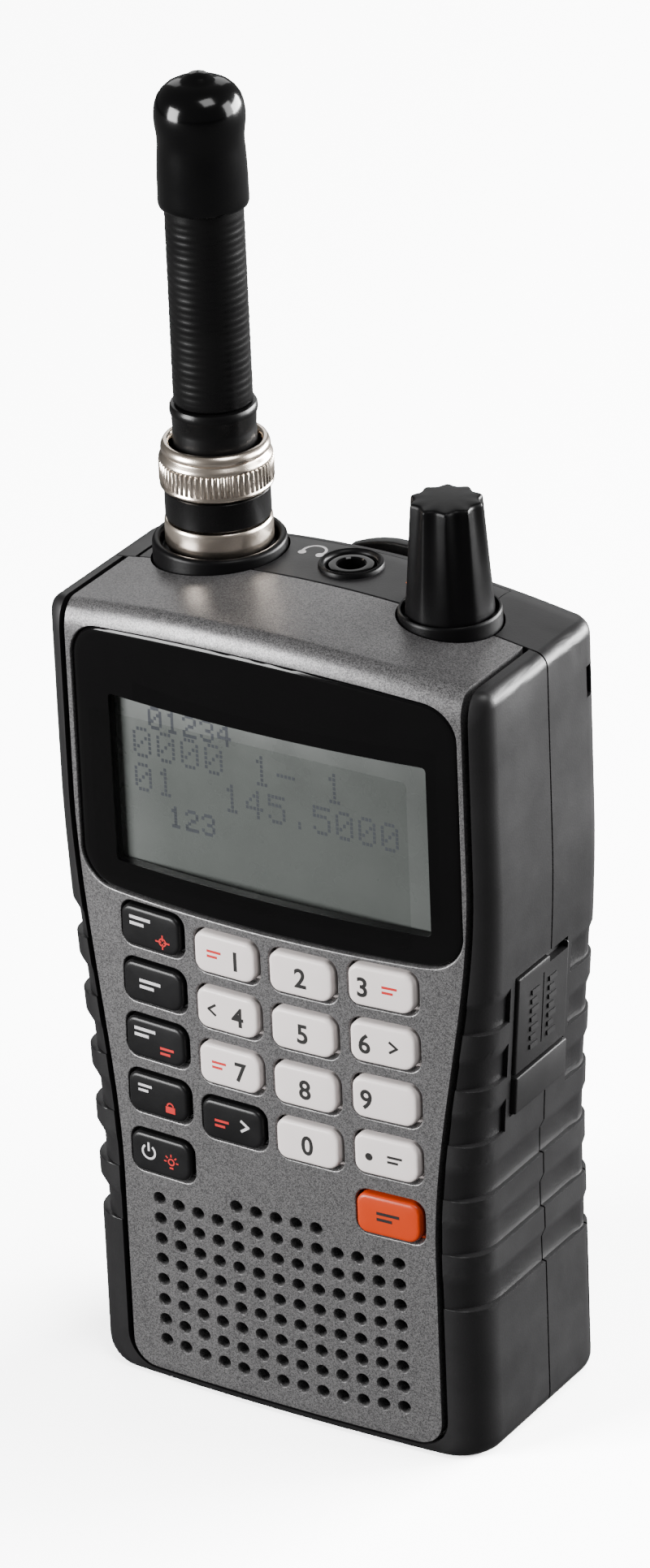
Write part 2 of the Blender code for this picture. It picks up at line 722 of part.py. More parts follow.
def cone_shape(name, cx, cz):
    """The speaker's paper cone and dust cap, thin and dished."""
    front = ((11.2, -11.4), (10.2, -11.0), (4.2, -8.8), (3.0, -9.6), (0.6, -10.0))
    back = ((0.6, -9.6), (2.8, -9.2), (4.0, -8.3), (10.4, -10.6), (11.2, -11.0))
    steps = [2.0 * math.pi * i / 24 for i in range(24)]
    rings = [[(cx + r * math.cos(a), y, cz + r * math.sin(a)) for a in steps] for r, y in front[::-1] + back[::-1]]
    return loft(name, [rings[i] for i in range(5)] + [rings[i] for i in range(5, 10)], "cone_paper", (cx, -11.8, cz))


def build_jacks():
    """Headphone jack on top, and the two ports behind the side cover."""
    jack = lathe("headphone_jack", JACK_X, JACK_Y,
                 ((4.2, 102.0), (4.2, 111.0), (JACK_NECK_R, 111.0), (JACK_NECK_R, 115.1), (2.7, 115.3)), 32,
                 "black_plastic")
    cut(jack, upright_cylinder("cut_jack_bore", JACK_X, JACK_Y, JACK_BORE_R, 103.0, 120.0, 24))
    port = box("charge_port", (22.0, -5.5, 59.8), (29.4, -0.9, 64.8), "tin")
    cut(port, box("cut_port", (23.0, -4.9, 60.4), (35.0, -1.5, 64.2)))
    remote = box("remote_port", (22.0, 0.4, 59.8), (29.4, 5.0, 64.8), "black_plastic")
    cut(remote, across_cylinder("cut_remote", 2.7, 62.3, 1.3, 24.0, 35.0))
    return jack, port, remote


def across_cylinder(name, cy, cz, radius, x0, x1, sides=14, slot=None):
    """A round bar that runs across the case."""
    steps = [2.0 * math.pi * i / sides for i in range(sides)]
    rings = [[(x, cy + radius * math.cos(a), cz + radius * math.sin(a)) for a in steps] for x in (x0, x1)]
    return loft(name, rings, slot)


def build_jack_cover():
    """Rubber cover on the side: a flap that folds down and the part that stays in the case."""
    flap_foot = COVER_FOLD + GAP
    flap = box("cover_flap", (COVER_INNER_X + GAP, COVER_Y0, flap_foot), (COVER_OUTER_X, COVER_Y1, COVER_HEAD),
               "rubber")
    bevel(flap, 0.35)
    nail = [(COVER_INNER_X + 1.4, COVER_HEAD - 0.9), (40.0, COVER_HEAD - 0.9), (40.0, COVER_HEAD + 2.0)]
    nail += [(COVER_INNER_X + 1.4, COVER_HEAD + 2.0)]
    cut(flap, merged("cut_nail", [prism(nail, 0.0, 4.0)]))
    set_origin(flap, (COVER_OUTER_X, (COVER_Y0 + COVER_Y1) / 2, COVER_FOLD))
    anchor = box("cover_anchor", (COVER_INNER_X + GAP, COVER_Y0, COVER_FOOT), (COVER_OUTER_X - 0.5, COVER_Y1, COVER_FOLD),
                 "rubber")
    bevel(anchor, 0.35)
    return flap, anchor


def build_collars():
    """Black rings on the case top round the antenna socket and under the knob."""
    antenna = tube("antenna_collar", ANT_X, ANT_Y,
                   ((COLLAR_R, 111.6), (COLLAR_R, COLLAR_TOP - 0.5), (COLLAR_R - 0.5, COLLAR_TOP)),
                   ((7.7, COLLAR_TOP), (7.4, 114.4), (5.9, 114.4), (5.9, 111.6)), 36, "black_plastic")
    knob = tube("knob_collar", KNOB_X, KNOB_Y,
                ((KNOB_COLLAR_R, 111.6), (KNOB_COLLAR_R, 115.1), (KNOB_COLLAR_R - 0.35, 115.4)),
                ((6.3, 115.4), (6.2, 114.0), (3.6, 114.0), (3.6, 111.6)), 32, "black_plastic")
    return antenna, knob


def build_antenna_socket():
    """Nickel bayonet socket with two lugs, and the white insulator inside it."""
    socket = tube("antenna_socket", ANT_X, ANT_Y,
                  ((5.6, 104.0), (5.6, 114.9), (SOCKET_R, 114.9), (SOCKET_R, 123.4), (SOCKET_R - 0.3, 123.7)),
                  ((4.1, 123.7), (4.1, 112.0), (1.6, 112.0), (1.6, 104.0)), 28, "nickel")
    add(socket, across_cylinder("lug_bar", ANT_Y, 121.4, 0.8, ANT_X - 5.6, ANT_X - 4.4))
    add(socket, across_cylinder("lug_bar_right", ANT_Y, 121.4, 0.8, ANT_X + 4.4, ANT_X + 5.6))
    insulator = tube("socket_insulator", ANT_X, ANT_Y, ((3.8, 112.3), (3.8, 115.0)), ((1.0, 115.0), (1.0, 112.3)), 32,
                     "white_plastic")
    return socket, insulator


def build_antenna():
    """Rubber whip with its dipped cap and bush, and the turning coupling."""
    whip_profile = [(3.4, BUSH_TOP + GAP)]
    whip_profile += [(WHIP_R + 0.05, BUSH_TOP + GAP)]
    whip_profile += [(WHIP_R - 0.1, CAP_Z - 0.5), (WHIP_R - 0.1, 172.5), (3.0, 174.5)]
    whip = lathe("antenna_whip", ANT_X, ANT_Y, whip_profile, 24, "rubber")
    cap_out = ((5.5, CAP_Z), (CAP_R - 0.1, CAP_Z + 0.5), (CAP_R - 0.05, 166.5), (5.62, 171.0), (5.7, 172.6), (CAP_R, 174.4))
    cap_out += ((CAP_R - 0.1, 176.0), (5.2, 177.7), (3.9, 178.9), (2.6, 179.4), (1.5, 180.0), (0.6, TIP_Z))
    cap = lathe("antenna_cap", ANT_X, ANT_Y, cap_out, 24, "gloss_black")
    room = lathe("cut_cap_room", ANT_X, ANT_Y, ((WHIP_R + 0.2, 160.0), (WHIP_R + 0.2, 172.8), (3.3, 175.2)), 24)
    cut(cap, room)
    bush = lathe("antenna_bush", ANT_X, ANT_Y,
                 ((3.5, 115.6), (3.7, 116.2), (3.7, 124.0), (BUSH_R, 124.3), (BUSH_R, 133.6), (5.75, 134.1),
                  (5.75, 134.8), (5.4, BUSH_TOP)), 28, "black_plastic")
    cut(bush, upright_cylinder("cut_bush", ANT_X, ANT_Y, 2.6, 110.0, 120.5, 20))
    return whip, cap, bush


def build_coupling():
    """Knurled nickel ring, black sleeve and plain nickel band that turn together."""
    ring = lathe("coupling_ring", ANT_X, ANT_Y,
                 ((6.9, RING_Z), (RING_R, RING_Z + 0.4), (RING_R, RING_Z + 4.2), (6.95, RING_Z + 4.8),
                  (7.2, RING_Z + 5.4), (6.6, RING_TOP)), RING_SIDES, "nickel")
    cut(ring, upright_cylinder("cut_ring", ANT_X, ANT_Y, BUSH_R + 0.35, 110.0, 140.0, RING_SIDES))
    sleeve = tube("coupling_sleeve", ANT_X, ANT_Y, ((BAND_R - 0.15, SLEEVE_Z), (BAND_R - 0.15, RING_Z - GAP)),
                  ((SLEEVE_BORE_R, RING_Z - GAP), (SLEEVE_BORE_R, SLEEVE_Z)), RING_SIDES, "black_plastic")
    band = tube("coupling_band", ANT_X, ANT_Y,
                ((BAND_R - 0.2, BAND_Z), (BAND_R, BAND_Z + 0.25), (BAND_R, SLEEVE_Z - GAP - 0.25), (BAND_R - 0.2, SLEEVE_Z - GAP)),
                ((SLEEVE_BORE_R, SLEEVE_Z - GAP), (SLEEVE_BORE_R, BAND_Z)), RING_SIDES, "nickel")
    return ring, sleeve, band


def build_knob():
    """Fluted knob on the shaft of a turn-and-push encoder."""
    sides = KNOB_FLUTES * 4
    rings = []
    for share, z in ((0.0, KNOB_Z), (1.0, KNOB_TOP - 0.6)):
        radius = KNOB_R + (KNOB_TOP_R - KNOB_R) * share
        depths = (0.0, 0.12, 0.42 * share + 0.1, 0.12)
        rings.append([
            (KNOB_X + (radius - depths[i % 4]) * math.cos(2 * math.pi * i / sides),
             KNOB_Y + (radius - depths[i % 4]) * math.sin(2 * math.pi * i / sides), z)
            for i in range(sides)
        ])
    top = [(x + (KNOB_X - x) * 0.1, y + (KNOB_Y - y) * 0.1, KNOB_TOP) for x, y, _ in rings[-1]]
    knob = loft("volume_knob", rings + [top], "black_plastic", (KNOB_X, KNOB_Y, KNOB_Z))
    cut(knob, upright_cylinder("cut_knob_bore", KNOB_X, KNOB_Y, SHAFT_R + 0.25, 110.0, 126.0, 24))
    shaft = lathe("encoder_shaft", KNOB_X, KNOB_Y, ((SHAFT_R, 107.4), (SHAFT_R, 125.2)), 24, "nickel")
    body = box("encoder_body", (KNOB_X - 5.6, KNOB_Y - 5.2, 100.2), (KNOB_X + 5.6, KNOB_Y + 5.6, 109.2), "tin")
    cut(body, upright_cylinder("cut_encoder", KNOB_X, KNOB_Y, SHAFT_R + 0.3, 106.6, 115.0, 24))
    return knob, shaft, body


def build_battery_bay():
    """Tray, two cells, their springs and the strap that joins them at the top."""
    tray = box("battery_tray", (-TRAY_HALF, -1.9, 3.0), (TRAY_HALF, 13.6, 58.4), "black_plastic")
    cut(tray, box("cut_tray", (-TRAY_HALF + TRAY_WALL, -1.9 + TRAY_WALL, 3.0 + TRAY_WALL),
                  (TRAY_HALF - TRAY_WALL, 16.0, 58.4 - TRAY_WALL)))
    for side, name in ((-1, "left"), (1, "right")):
        x = side * CELL_X
        top = CELL_Z + CELL_L
        lathe(f"cell_{name}", x, CELL_Y, ((CELL_R - 0.6, CELL_Z), (CELL_R, CELL_Z + 0.5), (CELL_R, top - 0.8),
                                         (CELL_R - 0.5, top - 0.3), (2.7, top - 0.3), (2.5, top + 0.9)), 28, "cell_wrap")
        lathe(f"contact_spring_{name}", x, CELL_Y, ((4.2, 4.25), (4.2, 4.6), (2.4, 5.1)), 20, "nickel")
    strap = box("contact_strap", (-13.0, CELL_Y - 3.0, 56.2), (13.0, CELL_Y + 3.0, 56.7), "nickel")
    return tray, strap


def build_belt_clip():
    """Bracket screwed to the back and the sprung arm that holds a belt against the case."""
    y0 = REAR_Y + GAP
    arm_y = REAR_Y + CLIP_GAP + GAP
    bracket = box("clip_bracket", (-CLIP_HALF + 3.2, y0, 90.0), (CLIP_HALF - 3.2, y0 + 1.6, 108.0), "black_plastic")
    for index, x in enumerate((-4.3, 2.7)):
        ear = box(f"clip_ear_{index}", (x, y0 + 0.6, CLIP_PIVOT_Z - 2.4), (x + 1.6, arm_y + 0.6, CLIP_PIVOT_Z + 2.4))
        add(bracket, ear)
    for index, z in enumerate(CLIP_SCREWS):
        cut(bracket, lying_cylinder(f"cut_bracket_{index}", 0.0, z, 1.3, REAR_Y - 2.0, REAR_Y + 6.0))
        screw = lying_cylinder(f"clip_screw_{index + 1}", 0.0, z, 0.95, REAR_Y - 1.7, y0 + 2.2, 12, "steel")
        add(screw, lying_cylinder(f"screw_head_{index}", 0.0, z, 2.0, y0 + 1.9, y0 + 3.0, 16))
    head = [(x, CLIP_HEAD - 0.028 * x * x) for x in (8.5, 6.5, 4.0, 1.4)]
    right = [(4.5, CLIP_FOOT), (6.4, CLIP_FOOT + 1.4), (7.0, CLIP_FOOT + 4.0), (8.5, 88.0)] + head
    arm = wall("clip_arm", mirrored(right), arm_y, arm_y + CLIP_T, "black_plastic")
    hook = box("clip_hook", (-5.0, REAR_Y + 0.9, CLIP_FOOT + 0.6), (5.0, arm_y + 0.5, CLIP_FOOT + 2.4))
    add(arm, hook)
    slots = [
        prism([(x, CLIP_PIVOT_Z - 2.8), (x + 2.2, CLIP_PIVOT_Z - 2.8), (x + 2.2, CLIP_PIVOT_Z + 2.8), (x, CLIP_PIVOT_Z + 2.8)],
              arm_y - 1.0, arm_y + CLIP_T + 1.0)
        for x in (-4.6, 2.4)
    ]
    cut(arm, merged("cut_arm_slots", slots))
    set_origin(arm, (0.0, arm_y, CLIP_PIVOT_Z))
    return bracket, arm


def main():
    """Builds every piece in its place."""
    cutters = shared_cutters()
    cutters["plate_pocket"] = plate_pocket()
    cutters["door_pocket"] = door_region("cut_door_pocket", GAP)
    build_front_panel(cutters)
    build_front_case(cutters)
    build_display(cutters)
    build_rear_case(cutters)
    build_top_plate(cutters)
    build_battery_door(cutters)
    build_keys()
    build_keypad_mat()
    build_board_and_speaker()
    build_jacks()
    build_jack_cover()
    build_collars()
    build_antenna_socket()
    build_antenna()
    build_coupling()
    build_knob()
    build_battery_bay()
    build_belt_clip()


clear_scene()
PARTS = collection("radio_scanner")
CUTTERS = collection("cutters", hidden=True)
main()
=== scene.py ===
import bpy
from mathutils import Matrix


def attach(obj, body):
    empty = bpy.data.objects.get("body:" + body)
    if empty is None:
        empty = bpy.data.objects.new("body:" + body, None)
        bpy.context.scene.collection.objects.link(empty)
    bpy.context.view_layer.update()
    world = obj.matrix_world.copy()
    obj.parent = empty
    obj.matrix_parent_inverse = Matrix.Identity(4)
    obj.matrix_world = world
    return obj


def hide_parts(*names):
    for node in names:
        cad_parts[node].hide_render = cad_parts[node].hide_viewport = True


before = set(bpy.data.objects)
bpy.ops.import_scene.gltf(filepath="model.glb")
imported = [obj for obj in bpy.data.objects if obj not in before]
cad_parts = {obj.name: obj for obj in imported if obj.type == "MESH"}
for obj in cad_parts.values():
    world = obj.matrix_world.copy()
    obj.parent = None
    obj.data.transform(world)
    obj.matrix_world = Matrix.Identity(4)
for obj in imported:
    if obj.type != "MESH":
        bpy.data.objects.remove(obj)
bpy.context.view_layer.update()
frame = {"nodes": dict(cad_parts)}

import logging
import math
from dataclasses import dataclass, field
from enum import Enum
from typing import Iterable, Sequence

import bmesh
import bpy
from mathutils import Matrix, Vector
from mathutils.bvhtree import BVHTree

LOG = logging.getLogger("scanner")
MM = 0.001
Point = tuple[float, float, float]
Flat = tuple[float, float]


# ---------------------------------------------------------------- finishes


class Nodes:
    """A short way to add and join the nodes of one material."""

    def __init__(self, name: str) -> None:
        """Starts a material.

        Args:
            name: The material's name.
        """
        self.material = bpy.data.materials.new(name)
        self.material.use_nodes = True
        self.tree = self.material.node_tree
        self.shader = self.tree.nodes["Principled BSDF"]
        self.place = self.tree.nodes.new("ShaderNodeTexCoord").outputs["Object"]

    def add(self, kind: str, **values: object) -> bpy.types.Node:
        """Adds a node.

        Args:
            kind: The node's type.
            **values: Settings, or input values where the name is an input's with spaces as underscores.

        Returns:
            The node.
        """
        node = self.tree.nodes.new(kind)
        sockets = {socket.name.lower().replace(" ", "_"): socket for socket in node.inputs}
        for name, value in values.items():
            if name in sockets:
                sockets[name].default_value = value
            else:
                setattr(node, name, value)
        return node

    def join(self, source: bpy.types.NodeSocket, target: bpy.types.NodeSocket) -> None:
        """Links an output to an input."""
        self.tree.links.new(source, target)

    def noise(self, size: float, detail: float = 3.0, stretch: Point = (1.0, 1.0, 1.0)) -> bpy.types.NodeSocket:
        """Adds a noise of a given feature size.

        Args:
            size: The size of one blotch in millimetres.
            detail: How many finer layers it has.
            stretch: How many times longer its blotches are along each axis.

        Returns:
            The noise's value from 0 to 1.
        """
        spread = self.add("ShaderNodeMapping")
        spread.inputs["Scale"].default_value = tuple(1.0 / s for s in stretch)
        self.join(self.place, spread.inputs["Vector"])
        node = self.add("ShaderNodeTexNoise", scale=1.0 / (size * MM), detail=detail, roughness=0.6)
        self.join(spread.outputs["Vector"], node.inputs["Vector"])
        return node.outputs["Fac"]

    def ramp(self, value: bpy.types.NodeSocket, low: float, high: float, out: Flat) -> bpy.types.NodeSocket:
        """Maps a range of a value to another range.

        Args:
            value: The value read.
            low: Where the range starts.
            high: Where it ends.
            out: What the two ends become.

        Returns:
            The mapped value.
        """
        node = self.add("ShaderNodeMapRange")
        node.inputs["From Min"].default_value = low
        node.inputs["From Max"].default_value = high
        node.inputs["To Min"].default_value = out[0]
        node.inputs["To Max"].default_value = out[1]
        self.join(value, node.inputs["Value"])
        return node.outputs["Result"]

    def blend(self, share: bpy.types.NodeSocket, first: Point, second: Point) -> bpy.types.NodeSocket:
        """Mixes two colours by a share.

        Args:
            share: 0 for the first, 1 for the second.
            first: A linear colour.
            second: A linear colour.

        Returns:
            The colour.
        """
        node = self.add("ShaderNodeMix", data_type="RGBA")
        node.inputs[6].default_value = (*first, 1.0)
        node.inputs[7].default_value = (*second, 1.0)
        self.join(share, node.inputs[0])
        return node.outputs[2]

    def bump(self, height: bpy.types.NodeSocket, depth: float, under: bpy.types.NodeSocket | None = None) -> bpy.types.NodeSocket:
        """Adds a bump.

        Args:
            height: The height from 0 to 1.
            depth: What 1 stands for, in millimetres.
            under: Another bump's normal, under this one.

        Returns:
            The bumped normal.
        """
        node = self.add("ShaderNodeBump", strength=1.0, distance=depth * MM)
        self.join(height, node.inputs["Height"])
        if under is not None:
            self.join(under, node.inputs["Normal"])
        return node.outputs["Normal"]


@dataclass(frozen=True)
class Finish:
    """A moulded, painted, plated or cast surface.

    Attributes:
        name: Its name in the file.
        colour: Linear colour.
        metallic: 1 for bare metal.
        roughness: The middle of its roughness.
        grain: Size of its finest grain in millimetres.
        depth: Height of that grain in millimetres.
        tone: How much its colour drifts, as a share.
        spread: How much its roughness drifts.
        coat: Strength of a clear layer on top.
        sparkle: Share of brighter flakes in a metallic paint.
        stretch: How its grain is drawn out along each axis.
        shine: Strength of its plain reflection, 0.5 for most plastics.
    """

    name: str
    colour: Point
    metallic: float = 0.0
    roughness: float = 0.5
    grain: float = 0.25
    depth: float = 0.006
    tone: float = 0.12
    spread: float = 0.08
    coat: float = 0.0
    sparkle: float = 0.0
    stretch: Point = (1.0, 1.0, 1.0)
    shine: float = 0.3

    def material(self) -> bpy.types.Material:
        """Builds the material once, and returns it each time after."""
        found = bpy.data.materials.get(self.name)
        if found is not None:
            return found
        nodes = Nodes(self.name)
        patches = nodes.noise(9.0, 4.0)
        fine = nodes.noise(self.grain, 2.0, self.stretch)
        dark = tuple(c * (1.0 - self.tone) for c in self.colour)
        light = tuple(min(c * (1.0 + self.tone), 1.0) for c in self.colour)
        colour = nodes.blend(nodes.ramp(patches, 0.3, 0.7, (0.0, 1.0)), dark, light)
        if self.sparkle:
            cells = nodes.add("ShaderNodeTexVoronoi", scale=1.0 / (self.grain * MM))
            nodes.join(nodes.place, cells.inputs["Vector"])
            tint = nodes.add("ShaderNodeSeparateColor")
            nodes.join(cells.outputs["Color"], tint.inputs["Color"])
            share = nodes.ramp(tint.outputs[0], 0.0, 1.0, (0.0, self.sparkle))
            mix = nodes.add("ShaderNodeMix", data_type="RGBA")
            nodes.join(share, mix.inputs[0])
            nodes.join(colour, mix.inputs[6])
            mix.inputs[7].default_value = (0.5, 0.49, 0.49, 1.0)
            colour = mix.outputs[2]
        nodes.join(colour, nodes.shader.inputs["Base Color"])
        rough = nodes.ramp(patches, 0.2, 0.8, (self.roughness - self.spread, self.roughness + self.spread))
        nodes.join(rough, nodes.shader.inputs["Roughness"])
        normal = nodes.bump(fine, self.depth)
        normal = nodes.bump(nodes.noise(2.2, 2.0), self.depth * 0.8, normal)
        nodes.join(normal, nodes.shader.inputs["Normal"])
        nodes.shader.inputs["Metallic"].default_value = self.metallic
        nodes.shader.inputs["Coat Weight"].default_value = self.coat
        nodes.shader.inputs["Coat Roughness"].default_value = 0.08
        nodes.shader.inputs["Specular IOR Level"].default_value = self.shine
        return nodes.material


@dataclass(frozen=True)
class Readout:
    """Grey-green liquid-crystal glass with painted shade: darker towards its head and paler at its foot.

    Attributes:
        name: Its name in the file.
        ground: Colour of the glass.
        low: Lowest corner of the glass, in metres.
        high: Highest corner of the glass, in metres.
    """

    name: str
    ground: Point
    low: Point
    high: Point

    def material(self) -> bpy.types.Material:
        """Builds the material once, and returns it each time after."""
        found = bpy.data.materials.get(self.name)
        if found is not None:
            return found
        nodes = Nodes(self.name)
        split = nodes.add("ShaderNodeSeparateXYZ")
        nodes.join(nodes.place, split.inputs[0])
        # Painted shade: the glass is drawn darker towards its head and paler at its foot, with random tone added on
        # top.
        tall = nodes.ramp(split.outputs[2], self.low[2], self.high[2], (0.0, 1.0))
        drift = nodes.ramp(nodes.noise(14.0, 2.0), 0.3, 0.7, (0.0, 0.35))
        painted_shade_and_tone = self.math(nodes, "ADD", self.math(nodes, "MULTIPLY", tall, 0.75), drift)
        pale = tuple(c * 1.16 for c in self.ground)
        ground = nodes.blend(painted_shade_and_tone, pale, tuple(c * 0.74 for c in self.ground))
        nodes.join(ground, nodes.shader.inputs["Base Color"])
        nodes.join(nodes.ramp(nodes.noise(6.0), 0.3, 0.7, (0.24, 0.34)), nodes.shader.inputs["Roughness"])
        nodes.join(nodes.bump(nodes.noise(0.3), 0.002), nodes.shader.inputs["Normal"])
        return nodes.material

    def math(self, nodes: Nodes, kind: str, first: bpy.types.NodeSocket, second: object) -> bpy.types.NodeSocket:
        """Adds a Math node.

        Args:
            nodes: The material's nodes.
            kind: The operation.
            first: Its first value.
            second: Its second value, a number or a socket.

        Returns:
            The result.
        """
        node = nodes.add("ShaderNodeMath", operation=kind)
        nodes.join(first, node.inputs[0])
        if isinstance(second, (int, float)):
            node.inputs[1].default_value = second
        else:
            nodes.join(second, node.inputs[1])
        return node.outputs[0]


@dataclass(frozen=True)
class ClearPane:
    """Thin clear plastic that only mirrors a little of the room.

    Attributes:
        name: Its name in the file.
    """

    name: str

    def material(self) -> bpy.types.Material:
        """Builds the material once, and returns it each time after."""
        found = bpy.data.materials.get(self.name)
        if found is not None:
            return found
        nodes = Nodes(self.name)
        tint = nodes.blend(nodes.ramp(nodes.noise(20.0), 0.3, 0.7, (0.0, 1.0)), (0.86, 0.87, 0.86), (0.9, 0.91, 0.9))
        clear = nodes.add("ShaderNodeBsdfTransparent")
        nodes.join(tint, clear.inputs["Color"])
        nodes.shader.inputs["Base Color"].default_value = (0.004, 0.004, 0.004, 1.0)
        nodes.join(nodes.ramp(nodes.noise(5.0), 0.2, 0.8, (0.04, 0.1)), nodes.shader.inputs["Roughness"])
        nodes.shader.inputs["Specular IOR Level"].default_value = 0.3
        facing = nodes.add("ShaderNodeLayerWeight", blend=0.5)
        mix = nodes.add("ShaderNodeMixShader")
        nodes.join(nodes.ramp(facing.outputs["Facing"], 0.2, 1.0, (0.03, 0.6)), mix.inputs[0])
        nodes.join(clear.outputs[0], mix.inputs[1])
        nodes.join(nodes.shader.outputs[0], mix.inputs[2])
        nodes.join(mix.outputs[0], nodes.tree.nodes["Material Output"].inputs["Surface"])
        return nodes.material


@dataclass(frozen=True)
class Sweep:
    """White paper sweep that looks bright, and throws little light back on the object.

    Attributes:
        name: Its name in the file.
        bright: How bright it looks itself.
        thrown: How much light it throws back.
    """

    name: str
    bright: float = 4.5
    thrown: float = 0.09

    def material(self) -> bpy.types.Material:
        """Builds the material once, and returns it each time after."""
        found = bpy.data.materials.get(self.name)
        if found is not None:
            return found
        nodes = Nodes(self.name)
        drift = nodes.ramp(nodes.noise(400.0, 2.0), 0.3, 0.7, (0.0, 1.0))
        seen, thrown = nodes.add("ShaderNodeBsdfDiffuse"), nodes.add("ShaderNodeBsdfDiffuse")
        nodes.join(nodes.blend(drift, (self.bright,) * 3, (self.bright * 1.01,) * 3), seen.inputs["Color"])
        nodes.join(nodes.blend(drift, (self.thrown,) * 3, (self.thrown * 1.01,) * 3), thrown.inputs["Color"])
        path, mix = nodes.add("ShaderNodeLightPath"), nodes.add("ShaderNodeMixShader")
        nodes.join(path.outputs["Is Camera Ray"], mix.inputs[0])
        nodes.join(thrown.outputs[0], mix.inputs[1])
        nodes.join(seen.outputs[0], mix.inputs[2])
        nodes.join(mix.outputs[0], nodes.tree.nodes["Material Output"].inputs["Surface"])
        return nodes.material


PANEL = Finish("gunmetal_paint", (0.048, 0.0468, 0.048), 0.55, 0.38, 0.13, 0.004, 0.03, 0.03, 0.05, 0.25)
CASE = Finish("grained_black_plastic", (0.0065, 0.0062, 0.0066), 0.0, 0.42, 0.28, 0.01, 0.08, 0.05, shine=0.35)
TRIM = Finish("satin_black_plastic", (0.0022, 0.0021, 0.0023), 0.0, 0.36, 0.35, 0.006, 0.1, 0.06, shine=0.1)
GLOSS = Finish("polished_black_plastic", (0.002, 0.0019, 0.002), 0.0, 0.08, 0.6, 0.0004, 0.1, 0.02, shine=0.2)
DIP = Finish("dipped_black_vinyl", (0.0012, 0.0012, 0.0013), 0.0, 0.14, 1.6, 0.003, 0.15, 0.04, shine=0.3)
WHIP = Finish("moulded_black_rubber", (0.0028, 0.0027, 0.0028), 0.0, 0.28, 0.5, 0.005, 0.15, 0.06, shine=0.2)
COVER = Finish("soft_black_rubber", (0.008, 0.0077, 0.008), 0.0, 0.5, 0.22, 0.01, 0.1, 0.06, shine=0.2)
WHITE_KEY = Finish("warm_white_keycap", (0.63, 0.575, 0.56), 0.0, 0.38, 0.3, 0.003, 0.02, 0.06, 0.1)
BLACK_KEY = Finish("black_keycap", (0.004, 0.0039, 0.0042), 0.0, 0.36, 0.3, 0.004, 0.15, 0.06, shine=0.25)
ORANGE_KEY = Finish("orange_keycap", (0.38, 0.027, 0.0002), 0.0, 0.4, 0.3, 0.003, 0.04, 0.06, 0.05)
WHITE_INK = Finish("white_print", (0.5, 0.49, 0.5), 0.0, 0.5, 0.1, 0.001, 0.04, 0.05)
RED_INK = Finish("red_print", (0.42, 0.012, 0.012), 0.0, 0.5, 0.1, 0.001, 0.08, 0.05)
DARK_INK = Finish("dark_print", (0.008, 0.0075, 0.0072), 0.0, 0.5, 0.1, 0.001, 0.1, 0.05)
ORANGE_INK = Finish("orange_print", (0.6, 0.12, 0.01), 0.0, 0.5, 0.1, 0.001, 0.08, 0.05)
GREY_INK = Finish("faint_display_dots", (0.07, 0.072, 0.085), 0.0, 0.4, 0.1, 0.001, 0.1, 0.05)
NICKEL = Finish("warm_nickel_plate", (0.78, 0.68, 0.58), 1.0, 0.22, 0.7, 0.0015, 0.06, 0.06)
TIN = Finish("tinned_sheet", (0.6, 0.6, 0.58), 1.0, 0.34, 0.4, 0.004, 0.08, 0.1, 0.0, 0.0, (1.0, 1.0, 8.0))
STEEL = Finish("zinc_plated_steel", (0.45, 0.45, 0.45), 1.0, 0.3, 0.4, 0.004, 0.08, 0.1)
BOARD = Finish("green_circuit_board", (0.015, 0.11, 0.04), 0.0, 0.35, 0.8, 0.01, 0.25, 0.1, 0.3)
PAPER = Finish("pressed_paper", (0.05, 0.05, 0.05), 0.0, 0.85, 0.4, 0.03, 0.2, 0.05)
WRAP = Finish("cell_film", (0.04, 0.05, 0.13), 0.0, 0.3, 0.8, 0.003, 0.1, 0.08, 0.3)
WHITE = Finish("white_moulding", (0.7, 0.7, 0.68), 0.0, 0.45, 0.4, 0.006, 0.06, 0.08)
SOFT_MAT = Finish("silicone_sheet", (0.05, 0.05, 0.052), 0.0, 0.7, 0.4, 0.01, 0.15, 0.08)
PANE = ClearPane("clear_window")


# ---------------------------------------------------------------- the case's form


def smoothstep(low: float, high: float, value: float) -> float:
    """Goes from 0 at low to 1 at high with no kink."""
    t = min(max((value - low) / (high - low), 0.0), 1.0)
    return t * t * (3.0 - 2.0 * t)


def arc(cx: float, cz: float, radius: float, start: float, end: float, steps: int) -> list[Flat]:
    """Points along an arc, both ends included.

    Args:
        cx: Centre.
        cz: Centre.
        radius: Radius.
        start: Start angle in degrees.
        end: End angle in degrees.
        steps: How many pieces the arc has.

    Returns:
        The points.
    """
    angles = [math.radians(start + (end - start) * i / steps) for i in range(steps + 1)]
    return [(cx + radius * math.cos(a), cz + radius * math.sin(a)) for a in angles]


def mirrored(right: list[Flat]) -> list[Flat]:
    """A closed outline from its right half, which runs from the bottom up."""
    return right + [(-x, z) for x, z in reversed(right)]


def run(start: float, end: float, steps: int) -> list[float]:
    """Evenly spaced values, both ends included."""
    return [start + (end - start) * i / steps for i in range(steps + 1)]


class Half(Enum):
    """Which half of the case is meant."""

    FRONT = "front"
    REAR = "rear"


